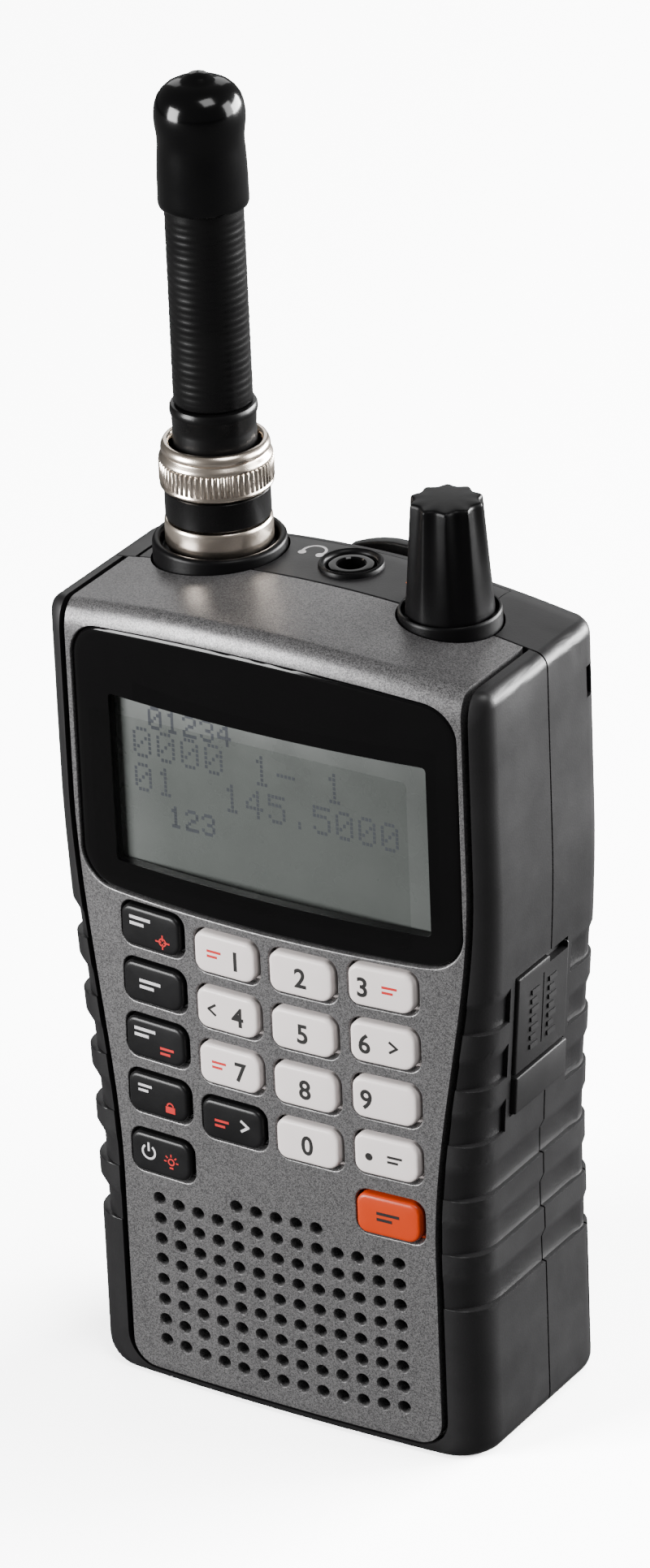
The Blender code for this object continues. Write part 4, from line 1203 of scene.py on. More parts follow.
    def front_panel(self, tools: dict[str, bpy.types.Object], keys: "Keypad") -> None:
        """Builds the painted face with its openings."""
        form = self.form
        guide = form.half("guide_front", Half.FRONT, 0.0, form.seam + 3.0)
        panel = form.half("front_panel_skin", Half.FRONT, 0.0, form.seam - 0.15)
        back = form.half("tool_panel_back", Half.FRONT, self.wall, form.seam + 2.0, foot=-2.0)
        keep = prism("tool_keep", self.panel_outline(0.0, self.panel_foot), form.front - 3.0, form.seam + 3.0)
        carve(panel, [keep], "INTERSECT")
        lens = self.mouth("tool_lens", self.lens_outline(0.15), 0.25, 6.0)
        carve(panel, [back, lens, tools["collar"], tools["knob"]])
        mouths = [self.mouth(f"tool_{name}", keys.outline(x, z, 0.4), 0.22, 5.0, (x, z)) for name, _, x, z in keys.places()]
        holes = REPEAT.repeat("tool_perforations", self.hole_tool(), self.hole_places(), PANEL)
        carve(panel, [*mouths, holes])
        follow(panel, [guide])
        dress(panel, [PANEL])
        finish_piece(panel, "case", "panel_paint", "front_panel")
        discard([guide, back, keep, lens, holes, *mouths])

    def front_half(self, tools: dict[str, bpy.types.Object], ribs: Sequence[bpy.types.Object]) -> None:
        """Builds the black front cabinet."""
        form = self.form
        guide = form.half("guide_front", Half.FRONT, 0.0, form.seam + 3.0)
        case = form.half("front_cabinet", Half.FRONT, 0.0, form.seam - 0.15)
        pocket = prism("tool_pocket", self.panel_outline(self.groove, self.panel_foot - 0.35), form.front - 3.0, form.seam + 3.0)
        floor = form.half("tool_floor", Half.FRONT, self.wall + 0.3, form.seam + 4.0, foot=-2.0)
        carve(pocket, [floor])
        hollow = form.half("tool_hollow", Half.FRONT, self.wall + 1.8, form.seam + 3.0, foot=2.6)
        window = prism("tool_window", mirrored([(20.6, 3.4), (20.6, 30.0), (23.6, 31.0), (23.9, 72.6)]), form.front - 3.0, form.front + 6.5)
        view = prism("tool_view", mirrored([(26.5, 74.9), (26.5, 103.5)]), form.front - 3.0, form.front + 6.5)
        carve(case, [*ribs, pocket, hollow, window, view, *tools.values()])
        follow(case, [guide])
        dress(case, [CASE])
        finish_piece(case, "case", "black_plastic", "front_case")
        discard([guide, pocket, floor, hollow, window, view])

    def door_region(self, name: str, grow: float) -> bpy.types.Object:
        """The rear corner of the case that the battery door takes."""
        high, half = 37.0 + grow, 17.0 + grow
        outline = [(-40.0, -2.0), (40.0, -2.0), (40.0, high), (half + 1.5, high), (half + 0.4, high + 0.5), (half, high + 1.6)]
        outline += [(half, 58.5 + grow), (half - 0.45, 59.6 + grow), (half - 1.5, 60.0 + grow)]
        left = [(-x, z) for x, z in reversed(outline[3:])]
        outline += left + [(-40.0, high)]
        return prism(name, outline, 12.9 - grow, self.form.rear + 3.0)

    def rear_half(self, tools: dict[str, bpy.types.Object], ribs: Sequence[bpy.types.Object]) -> None:
        """Builds the black rear cabinet, the inset strip on top and the battery door."""
        form = self.form
        jx, jy, _ = self.jack
        x0, x1, y1 = self.strip
        guide = form.half("guide_rear", Half.REAR, 0.0, form.seam - 3.0)
        case = form.half("rear_cabinet", Half.REAR, 0.0, form.seam + 0.15)
        hollow = form.half("tool_hollow", Half.REAR, 2.1, form.seam - 3.0)
        sunk = block("tool_strip", (x0 - 0.15, form.seam - 2.0, 100.0), (x1 + 0.15, y1 + 0.15, 120.0))
        floor = form.half("tool_strip_floor", Half.REAR, 1.4, form.seam - 4.0)
        carve(sunk, [floor])
        door_space = self.door_region("tool_door_space", form.gap)
        bore = turned("tool_bore", jx, jy, ((3.35, 109.0), (3.35, 120.0)), 40)
        strap = [
            block("tool_strap_a", (28.0, 11.2, 101.9), (36.0, 13.0, 106.3)), block("tool_strap_b", (26.4, 11.2, 101.9), (28.4, 18.0, 106.3))
        ]
        seam_line = block("tool_seam_line", (-28.9, 1.0, 100.0), (-28.3, 13.35, 120.0))
        edge_line = block("tool_edge_line", (-28.9, 12.95, 100.0), (x0, 13.35, 120.0))
        skin = form.half("tool_skin", Half.REAR, 0.45, form.seam - 4.0)
        lines = carve(seam_line, [edge_line], "UNION")
        carve(lines, [skin])
        screws = [self.bar(f"tool_screw_{z}", 0.0, z, 1.25, form.rear - 4.0, form.rear + 2.0) for z in (93.0, 105.0)]
        cutters = [hollow, sunk, door_space, bore, *strap, lines, *screws]
        carve(case, [*ribs, *cutters, *tools.values()])
        follow(case, [guide])
        dress(case, [CASE])
        finish_piece(case, "case", "black_plastic", "rear_case")
        self.top_strip(tools, guide)
        self.battery_door(ribs, guide)
        discard([guide, floor, skin, edge_line, *cutters])

    def bar(self, name: str, cx: float, cz: float, radius: float, y0: float, y1: float, sides: int = 32) -> bpy.types.Object:
        """A round bar that runs front to back."""
        return prism(name, arc(cx, cz, radius, 0.0, 360.0 - 360.0 / sides, sides - 1), y0, y1)

    def top_strip(self, tools: dict[str, bpy.types.Object], guide: bpy.types.Object) -> None:
        """Builds the strip round the headphone jack, with its raised ring."""
        form = self.form
        jx, jy, jr = self.jack
        x0, x1, y1 = self.strip
        strip = form.half("top_strip", Half.REAR, 0.0, form.seam + 0.25)
        keep = block("tool_keep", (x0, form.seam - 1.0, 100.0), (x1, y1, 120.0))
        back = form.half("tool_back", Half.REAR, 1.2, form.seam - 3.0)
        bore = turned("tool_bore", jx, jy, ((3.35, 109.0), (3.35, 120.0)), 48)
        carve(strip, [keep], "INTERSECT")
        carve(strip, [back, bore, tools["collar"], tools["knob"]])
        follow(strip, [guide])
        dress(strip, [CASE])
        profile = (
            (3.4, 114.6), (jr, 114.6), (jr, 115.25), (jr - 0.12, 115.5), (jr - 0.4, 115.62), (3.75, 115.55), (3.5, 115.3), (3.4, 115.0)
        )
        ring = dress(soften(turned("ring", jx, jy, profile, 64, loop=True)), [TRIM])
        discard([keep, back, bore])
        whole = joined("top_strip_and_ring", [strip, ring])
        finish_piece(whole, "case", "black_plastic", "top_plate")

    def battery_door(self, ribs: Sequence[bpy.types.Object], guide: bpy.types.Object) -> None:
        """Builds the door over the cells."""
        form = self.form
        door = form.half("battery_cover", Half.REAR, 0.0, form.seam + 1.0)
        region = self.door_region("tool_door", 0.0)
        back = form.half("tool_door_back", Half.REAR, 1.7, form.seam - 3.0)
        places = [((0.0, form.rear, z), Vector((0.0, 1.0, 0.0))) for z in run(46.0, 54.8, 6)]
        groove = loft(
            "tool_groove",
            [[(x, y * s, d) for x, y in ((-7.0, -0.45), (7.0, -0.45), (7.0, 0.45), (-7.0, 0.45))] for s, d in ((0.4, -0.55), (1.3, 0.3))]
        )
        grooves = REPEAT.repeat("tool_grip_lines", groove, places, CASE)
        carve(door, [*ribs, grooves])
        carve(door, [region], "INTERSECT")
        carve(door, [back])
        follow(door, [guide])
        dress(door, [CASE])
        finish_piece(door, "door", "black_plastic", "battery_door")
        discard([region, back, grooves])

    def side_cover(self) -> None:
        """Builds the rubber cover over the ports and the part that stays in the case."""
        y0, y1, foot, fold, head = self.cover
        gap = self.form.gap
        slope = (self.form.half_width(head) - self.form.half_width(foot)) / (head - foot)

        def slab(name: str, low: float, high: float, proud: float) -> bpy.types.Object:
            """A block whose outer face follows the waist."""
            outer = [(z, self.form.half_width(foot) + slope * (z - foot) + proud) for z in (low, high)]
            return rounded(loft(name, [[(29.9, y0, z), (x, y0, z), (x, y1, z), (29.9, y1, z)] for z, x in outer]), 0.3, 3)

        flap = slab("jack_flap", fold + gap, head, 0.45)
        notch = block("tool_nail", (31.9, 0.6, head - 0.9), (40.0, y1 - 0.4, head + 2.0))
        middle = (y0 + y1) / 2
        line = block("tool_line", (31.6, middle - 0.13, fold + 2.4), (40.0, middle + 0.13, head - 1.8))
        shallow = slab("tool_shallow", foot, head + 3.0, 0.2)
        carve(line, [shallow])
        carve(flap, [notch, line])
        soften(flap, 30.0)
        dress(flap, [COVER])
        marks = []
        for side in (-1, 1):
            for row in range(7):
                y, z = middle + side * 2.2, fold + 2.8 + row * 1.35
                x = self.form.half_width(foot) + slope * (z - foot) + 0.4
                marks.append(block(f"mark_{side}_{row}", (x, y - 0.95, z), (x + 0.3, y + 0.95 - 0.6 * (row % 2), z + 0.7)))
        for mark in marks:
            dress(mark, [COVER])
        whole = joined("jack_cover_flap", [flap, *marks])
        finish_piece(whole, "cover", "rubber", "cover_flap")
        anchor = slab("jack_cover_anchor", foot, fold, 0.75)
        soften(anchor, 30.0)
        dress(anchor, [COVER])
        finish_piece(anchor, "case", "rubber", "cover_anchor")
        discard([notch, line, shallow])

    def build(self, keys: "Keypad") -> None:
        """Builds every piece of the case.

        Args:
            keys: The keypad, whose holes the panel has.
        """
        tools = self.shared_tools()
        ribs = self.rib_tools()
        self.front_panel(tools, keys)
        self.front_half(tools, ribs)
        self.rear_half(tools, ribs)
        self.side_cover()
        discard([*tools.values(), *ribs])


@dataclass
class Display:
    """The glossy lens with its window, and what shows through it.

    Attributes:
        case: The case it sits in.
        sink: How far the lens lies behind the panel's face.
        thickness: The lens.
        window: Half width, foot and head of the clear window.
        drift: How far its middle lies to the right.
        depth: y of the liquid-crystal glass.
    """

    case: Case
    sink: float = 0.25
    thickness: float = 1.5
    window: Point = (23.9, 77.1, 101.2)
    drift: float = 0.7
    depth: float = -13.1

    def surface(self, name: str, outline: Sequence[Flat], front: float, back: float) -> bpy.types.Object:
        """A bowed slab with a rounded front edge.

        Args:
            name: The object's name.
            outline: Its outline.
            front: How far its face lies behind the panel's.
            back: How far its back does.

        Returns:
            The slab.
        """
        rings = []
        cx, cz = 0.0, 92.0
        form = self.case.form
        levels = [(s, front) for s in run(0.04, 0.96, 12)] + [(0.985, front + 0.04), (0.995, front + 0.14), (1.0, front + 0.35)]
        levels += [(1.0, back)] + [(s, back) for s in run(0.96, 0.04, 12)]
        for scale, depth in levels:
            rings.append(
                [
                    (cx + (x - cx) * scale, form.front_at(cx + (x - cx) * scale, cz + (z - cz) * scale) + depth, cz + (z - cz) * scale)
                    for x, z in outline
                ]
            )
        return loft(name, rings)

    def build(self) -> None:
        """Builds the lens, the pane, the glass and its marks."""
        half, low, high = self.window
        lens = self.surface("lens_frame", self.case.lens_outline(0.0), self.sink, self.sink + self.thickness)
        guide = self.surface("guide_lens", self.case.lens_outline(0.0), self.sink, self.sink + self.thickness)
        corners = arc(half - 0.6, low + 0.6, 0.6, -90.0, 0.0, 4) + arc(half - 0.6, high - 0.6, 0.6, 0.0, 90.0, 4)
        corners += arc(-half + 0.6, high - 0.6, 0.6, 90.0, 180.0, 4) + arc(-half + 0.6, low + 0.6, 0.6, 180.0, 270.0, 4)
        corners = [(x + self.drift, z) for x, z in corners]
        opening = prism("tool_opening", corners, self.case.form.front - 3.0, self.case.form.front + 6.0)
        carve(lens, [opening])
        follow(lens, [guide])
        dress(lens, [GLOSS])
        pane = self.surface("guide_pane", self.case.lens_outline(0.0), self.sink + 0.02, self.sink + 0.3)
        keep = prism(
            "tool_keep", [(self.drift + (x - self.drift) * 0.9995, z) for x, z in corners], self.case.form.front - 3.0,
            self.case.form.front + 6.0
        )
        carve(pane, [keep], "INTERSECT")
        sheet = bmesh.new()
        sheet.from_mesh(pane.data)
        bmesh.ops.delete(sheet, geom=[face for face in sheet.faces if face.normal.y > -0.5], context="FACES")
        sheet.to_mesh(pane.data)
        sheet.free()
        follow(pane, [guide])
        dress(pane, [PANE])
        whole = joined("display_lens_window", [lens, pane])
        discard([guide, opening, keep])
        finish_piece(whole, "case", "gloss_black", "display_lens")
        self.readout()

    def readout(self) -> None:
        """Builds the grey glass, flat behind the bowed lens, with faint rows of dots."""
        half, low, high = self.window
        back = self.depth + 1.2
        edge = [
            (x + self.drift, z)
            for x, z in ((-half - 1.6, low - 1.6), (half + 1.6, low - 1.6), (half + 1.6, high + 1.6), (-half - 1.6, high + 1.6))
        ]
        glass = prism("crystal_glass", edge, self.depth, back)
        # The glass's material paints shade on it, darker towards its head.
        tone = Readout("grey_crystal", (0.13, 0.135, 0.133), (-half * MM, self.depth * MM, low * MM), (half * MM, back * MM, high * MM))
        soften(rounded(glass, 0.1, 2))
        dress(glass, [tone])
        dot = block("tool_dot", (-0.2, -0.24, -0.01), (0.2, 0.24, 0.012))
        places = [((x, self.depth, z), Vector((0.0, -1.0, 0.0))) for x, z in self.dots()]
        dots = REPEAT.repeat("crystal_dots", dot, places, GREY_INK)
        dress(dots, [GREY_INK])
        whole = joined("crystal_with_marks", [glass, dots])
        finish_piece(whole, "case", "lcd_glass", "lcd_glass")

    def dots(self) -> list[Flat]:
        """Where the faint marks are: rows of plain bars and numerals built of dots."""
        shapes = {
            "0": "01110 10001 10011 10101 11001 10001 01110",
            "1": "00100 01100 00100 00100 00100 00100 01110",
            "2": "01110 10001 00001 00110 01000 10000 11111",
            "3": "01110 10001 00001 00110 00001 10001 01110",
            "4": "00010 00110 01010 10010 11111 00010 00010",
            "5": "11111 10000 11110 00001 00001 10001 01110",
            "-": "00000 00000 00000 11111 00000 00000 00000",
            "#": "11111 11111 11111 11111 11111 11111 11111",
            ".": "00000 00000 00000 00000 00000 00100 00100",
        }
        places = []
        rows = (
            (-18.0, 99.6, 0.42, "01234"), (-20.5, 96.2, 0.58, "0000 1- 1"), (-20.5, 91.0, 0.54, "01  145.5000"), (-15.5, 85.8, 0.4, "123")
        )
        for left, top, pitch, text in rows:
            for number, sign in enumerate(text):
                if sign == " ":
                    continue
                for down, line in enumerate(shapes[sign].split()):
                    for right, lit in enumerate(line):
                        if lit == "1":
                            places.append((left + number * pitch * 6.3 + right * pitch, top - down * pitch * 1.1))
        return places


@dataclass
class Keypad:
    """Eighteen caps with rounded tops and their printed numerals and signs.

    Attributes:
        width: Width of a cap.
        height: Height of a cap.
        corner: Its corner radius.
        proud: How far its top stands out of the panel.
        columns: x of the four columns.
        rows: Height of the five rows at the middle.
        smile: How strongly the rows curve.
    """

    width: float = 9.5
    height: float = 5.8
    corner: float = 1.5
    proud: float = 0.6
    columns: tuple[float, ...] = (-17.6, -5.8, 5.8, 17.6)
    rows: tuple[float, ...] = (67.6, 59.4, 51.2, 42.9, 34.0)
    smile: float = 0.0029

    def places(self) -> list[tuple[str, Finish, float, float]]:
        """The node, finish and middle of every key."""
        found = [(f"key_{name}", BLACK_KEY, self.columns[0], self.rows[row])
                 for row, name in enumerate(("hold", "scan", "search", "lockout", "power"))]
        for digit in range(1, 10):
            row, column = divmod(digit - 1, 3)
            found.append((f"key_{digit}", WHITE_KEY, self.columns[1 + column], self.rows[row]))
        found += [("key_enter", BLACK_KEY, self.columns[1], self.rows[3]), ("key_0", WHITE_KEY, self.columns[2], self.rows[3]),
                  ("key_clear", WHITE_KEY, self.columns[3], self.rows[3]), ("key_function", ORANGE_KEY, self.columns[3], self.rows[4])]
        return [(name, finish, x, z + self.smile * x * x) for name, finish, x, z in found]

    def outline(self, cx: float, cz: float, grow: float) -> list[Flat]:
        """A cap's outline, whose lower right corner is cut back further than the rest."""
        half_w, half_h = self.width / 2 + grow, self.height / 2 + grow
        points: list[Flat] = []
        for sx, sz, start in ((1, -1, -90.0), (1, 1, 0.0), (-1, 1, 90.0), (-1, -1, 180.0)):
            radius = max(self.corner + grow, 0.35) + (0.5 if (sx, sz) == (1, -1) and grow <= 0.0 else 0.0)
            radius = min(radius, half_h * 0.9)
            points += arc(cx + sx * (half_w - radius), cz + sz * (half_h - radius), radius, start, start + 90.0, 6)
        return points

    def cap(self, name: str, finish: Finish, x: float, z: float) -> bpy.types.Object:
        """One cap: its hidden flange, its wall and its softly crowned top.

        Args:
            name: The object's name.
            finish: Its finish.
            x: Its middle.
            z: Its middle.

        Returns:
            The cap.
        """
        back = 2.1
        levels = [(0.75, back + 0.5), (0.75, back), (0.0, back), (0.0, -self.proud + 0.55)]
        levels += [(-0.5 * (1.0 - math.cos(a)), -self.proud + 0.5 - 0.5 * math.sin(a)) for a in (0.3, 0.6, 0.95, 1.3)]
        levels += [(-0.6, -self.proud - 0.005), (-1.3, -self.proud - 0.03), (-2.0, -self.proud - 0.045), (-2.5, -self.proud - 0.05)]
        rings = [[(px, FORM.front_at(px, pz) + depth, pz) for px, pz in self.outline(x, z, grow)] for grow, depth in levels]
        return dress(soften(loft(name, rings), 40.0), [finish])

    def legends(self, node: str, x: float, z: float) -> list[bpy.types.Object]:
        """The numeral and the signs printed on one cap.

        Args:
            node: The key.
            x: Its middle.
            z: Its middle.

        Returns:
            The printed shapes.
        """
        level = self.proud + 0.05
        made: list[bpy.types.Object] = []

        def sign(kind: Sign, dx: float, dz: float, ink: Finish) -> None:
            """Adds one sign at an offset from the cap's middle."""
            made.append(print_on_front(f"{node}_{kind.value}_{len(made)}", kind.outlines(x + dx, z + dz), 0.018, level, ink))

        def digit(text: str, dx: float) -> None:
            """Adds one numeral at an offset from the cap's middle."""
            made.append(digit_outline(f"{node}_numeral", text, x + dx, z - 0.1, 2.8, level, DARK_INK))

        if node[-1].isdigit():
            number = int(node[-1])
            shift = {1: 1.7, 0: -2.6}.get(number % 3, 0.0) if number else 0.0
            digit(str(number), shift)
            extra = {1: (Sign.SHORT, -1.6, RED_INK), 7: (Sign.SHORT, -1.6, RED_INK), 3: (Sign.SHORT, 1.3, RED_INK),
                     4: (Sign.LESS, -2.3, DARK_INK), 6: (Sign.MORE, 1.6, DARK_INK)}.get(number)
            if extra:
                sign(extra[0], extra[1], 0.1, extra[2])
            return made
        table = {
            "key_hold": [(Sign.DASHES, -1.6, 0.9, WHITE_INK), (Sign.TARGET, 2.0, -1.1, RED_INK)],
            "key_scan": [(Sign.DASHES, -0.4, 0.0, WHITE_INK)],
            "key_search": [(Sign.DASHES, -1.6, 0.9, WHITE_INK), (Sign.SHORT, 1.9, -1.0, RED_INK)],
            "key_lockout": [(Sign.SHORT, -2.0, 0.9, WHITE_INK), (Sign.PADLOCK, 2.0, -0.9, RED_INK)],
            "key_power": [(Sign.POWER, -1.9, 0.3, WHITE_INK), (Sign.LAMP, 1.7, -0.4, RED_INK)],
            "key_enter": [(Sign.SHORT, -1.6, -0.3, RED_INK), (Sign.MORE, 2.0, 0.2, WHITE_INK)],
            "key_clear": [(Sign.DOT, -2.5, -0.2, DARK_INK), (Sign.SHORT, 1.3, 0.0, DARK_INK)],
            "key_function": [(Sign.DASHES, 0.0, 0.0, DARK_INK)],
        }
        for kind, dx, dz, ink in table[node]:
            sign(kind, dx, dz, ink)
        return made

    def build(self) -> None:
        """Builds every key as one piece on its own body."""
        for node, finish, x, z in self.places():
            pieces = [self.cap(f"{node}_plain", finish, x, z), *self.legends(node, x, z)]
            slot = {"black_keycap": "black_key", "warm_white_keycap": "white_key", "orange_keycap": "orange_key"}[finish.name]
            finish_piece(joined(f"{node}_cap_printed", pieces), f"{node}_cap", slot, node)


@dataclass
class Antenna:
    """Socket, turning coupling, ribbed whip and dipped cap, all round one axis.

    Attributes:
        x: Axis.
        y: Axis.
        band_z: Foot of the plain nickel band.
        sleeve_z: Foot of the black sleeve.
        ring_z: Foot of the knurled ring.
        ring_top: Its top.
        bush_top: Top of the bush.
        cap_z: Foot of the dipped cap.
        teeth: Teeth of the knurl.
        rings: Rings of the whip.
    """

    x: float = -18.6
    y: float = 6.3
    band_z: float = 115.3
    sleeve_z: float = 119.4
    ring_z: float = 123.6
    ring_top: float = 130.0
    bush_top: float = 135.2
    cap_z: float = 162.6
    teeth: int = 60
    rings: int = 26

    def spin(
        self, name: str, profile: Sequence[Flat], finish: Finish, sides: int = 72, loop: bool = False, angle: float = 35.0
    ) -> bpy.types.Object:
        """A turned piece on the antenna's axis, smooth and dressed."""
        return dress(soften(turned(name, self.x, self.y, profile, sides, loop), angle), [finish])

    def collar(self) -> None:
        """Builds the black raised ring on the case."""
        profile = [(8.85, 111.6), (8.85, 115.6), (8.8, 115.85), (8.65, 116.05), (8.4, 116.18), (8.15, 116.2), (7.95, 116.1), (7.8, 115.9),
                   (7.75, 115.6), (7.6, 114.6), (7.4, 114.4), (5.9, 114.4), (5.9, 111.6)]
        finish_piece(self.spin("antenna_seat", profile, TRIM, loop=True), "case", "black_plastic", "antenna_collar")

    def socket(self) -> None:
        """Builds the nickel socket with its two lugs, and the insulator inside."""
        profile = [(5.6, 104.0), (5.6, 114.9), (4.85, 114.95), (4.85, 123.3), (4.75, 123.55), (4.55, 123.7), (4.2, 123.65),
                   (4.1, 123.4), (4.1, 112.0), (1.6, 112.0), (1.6, 104.0)]
        body = self.spin("socket_body", profile, NICKEL, loop=True)
        lug = turned("tool_lug", 0.0, 0.0, ((0.8, -0.6), (0.8, 0.5), (0.7, 0.6), (0.55, 0.64)), 20)
        lug.data.shade_smooth()
        places = [((self.x + s * 5.0, self.y, 121.4), Vector((float(s), 0.0, 0.0))) for s in (-1, 1)]
        lugs = REPEAT.repeat("socket_lugs", lug, places, NICKEL)
        finish_piece(joined("bayonet_socket", [body, soften(lugs, 35.0)]), "case", "nickel", "antenna_socket")
        insulator = self.spin(
            "socket_insert", [(3.8, 112.3), (3.8, 115.0), (3.6, 115.2), (1.2, 115.2), (1.0, 115.0), (1.0, 112.3)], WHITE, 40, True
        )
        finish_piece(insulator, "case", "white_plastic", "socket_insulator")

    def coupling(self) -> None:
        """Builds the knurled ring, the sleeve and the band that turn together."""
        z, top = self.ring_z, self.ring_top
        profile = [(5.9, z), (6.9, z), (7.3, z + 0.12), (7.45, z + 0.35), (7.45, z + 0.6), (7.28, z + 0.75), (7.28, z + 3.75), (7.45, z + 3.9),
                   (7.45, z + 4.1), (7.32, z + 4.45), (7.0, z + 4.75), (6.92, z + 4.95), (7.1, z + 5.15), (7.18, z + 5.4), (7.1, z + 5.8),
                   (6.85, top - 0.1), (6.55, top), (6.3, top - 0.05), (6.15, top - 0.25), (5.9, top - 0.9), (5.85, top - 1.4), (5.85, z + 0.4)]
        ring = self.spin("ring_plain", profile, NICKEL, 96, True, 50.0)
        levels = ((-1.55, 0.02), (-1.4, 0.26), (1.4, 0.26), (1.55, 0.02))
        tooth = loft(
            "tool_tooth",
            [[(-0.37, y, -0.12), (-0.15, y, tall * 0.8), (0.0, y, tall), (0.15, y, tall * 0.8), (0.37, y, -0.12)] for y, tall in levels]
        )
        places = []
        for number in range(self.teeth):
            angle = 2.0 * math.pi * number / self.teeth
            out = Vector((math.cos(angle), math.sin(angle), 0.0))
            places.append(((self.x + 7.26 * out.x, self.y + 7.26 * out.y, z + 2.25), out))
        teeth = dress(soften(REPEAT.repeat("knurl_teeth", tooth, places, NICKEL), 50.0), [NICKEL])
        whole = joined("knurled_ring", [ring, teeth])
        finish_piece(whole, "coupling", "nickel", "coupling_ring")
        sleeve = [
            (6.05, self.sleeve_z), (6.85, self.sleeve_z), (6.95, self.sleeve_z + 0.12), (6.95, z - 0.42), (6.85, z - 0.3), (6.05, z - 0.3)
        ]
        finish_piece(self.spin("coupling_sleeve_smooth", sleeve, WHIP, 72, True), "coupling", "black_plastic", "coupling_sleeve")
        b, s = self.band_z, self.sleeve_z
        band = [
            (6.05, b), (6.75, b), (6.95, b + 0.1), (7.08, b + 0.3), (7.1, b + 0.5), (7.1, s - 0.8), (7.05, s - 0.55), (6.9, s - 0.36),
            (6.7, s - 0.3), (6.05, s - 0.3)
        ]
        finish_piece(self.spin("coupling_band_smooth", band, NICKEL, 84, True), "coupling", "nickel", "coupling_band")

    def whip(self) -> None:
        """Builds the ribbed whip, the bush under it and the dipped cap."""
        foot, head = self.bush_top + 0.3, self.cap_z
        profile: list[Flat] = [(3.4, foot), (5.15, foot), (5.25, foot + 0.1)]
        pitch = (head - foot - 1.5) / self.rings
        for number in range(self.rings):
            base = foot + 0.8 + number * pitch
            share = number / self.rings
            r = 5.17 - 0.06 * share
            swell = 0.045 * (0.35 + 0.65 * math.sin(number * 2.1) ** 2)
            profile += [
                (r - 0.02, base), (r + swell * 0.7, base + pitch * 0.25), (r + swell, base + pitch * 0.5),
                (r + swell * 0.6, base + pitch * 0.78)
            ]
        profile += [(5.1, head - 0.4), (5.1, 172.5), (3.0, 174.5)]
        finish_piece(self.spin("ribbed_whip", profile, WHIP, 72, False, 60.0), "antenna", "rubber", "antenna_whip")
        t = self.bush_top
        bush = [(2.6, 115.6), (3.5, 115.6), (3.7, 115.9), (3.7, 124.0), (5.4, 124.1), (5.5, 124.4), (5.5, 131.6), (5.44, 131.9), (5.5, 132.2), (5.55, 133.6),
                (5.7, 133.9), (5.75, 134.2), (5.72, 134.8), (5.55, t - 0.1), (5.2, t), (2.6, t), (2.6, 121.0)]
        finish_piece(self.spin("whip_bush", bush, WHIP, 72, True), "antenna", "black_plastic", "antenna_bush")
        cap = self.spin("dipped_cap", self.cap_profile(), DIP, 84, True, 50.0)
        finish_piece(cap, "antenna", "gloss_black", "antenna_cap")

    def cap_profile(self) -> list[Flat]:
        """The cap's outside from its rolled lip to the nipple, and back down its inside."""
        z = self.cap_z
        out = [(5.35, z + 0.1), (5.55, z - 0.02), (5.78, z + 0.1), (5.88, z + 0.4), (5.9, z + 0.9), (5.86, z + 1.6), (5.85, 166.5), (5.8, 168.0), (5.7, 169.8),
               (
                   5.62, 171.0
               ), (5.63, 171.9), (5.72, 172.8), (5.84, 173.6), (5.9, 174.5), (5.87, 175.4), (5.72, 176.4), (5.4, 177.3), (4.9, 178.05),
               (4.2, 178.7), (3.4, 179.12), (2.7, 179.32), (2.3, 179.45), (1.95, 179.65), (1.6, 179.95), (1.2, 180.25), (0.7, 180.44), (0.15, 180.5)]
        return out + [(0.15, 175.4), (3.3, 175.2), (5.35, 172.8)]

    def build(self) -> None:
        """Builds every piece of the antenna."""
        self.collar()
        self.socket()
        self.coupling()
        self.whip()


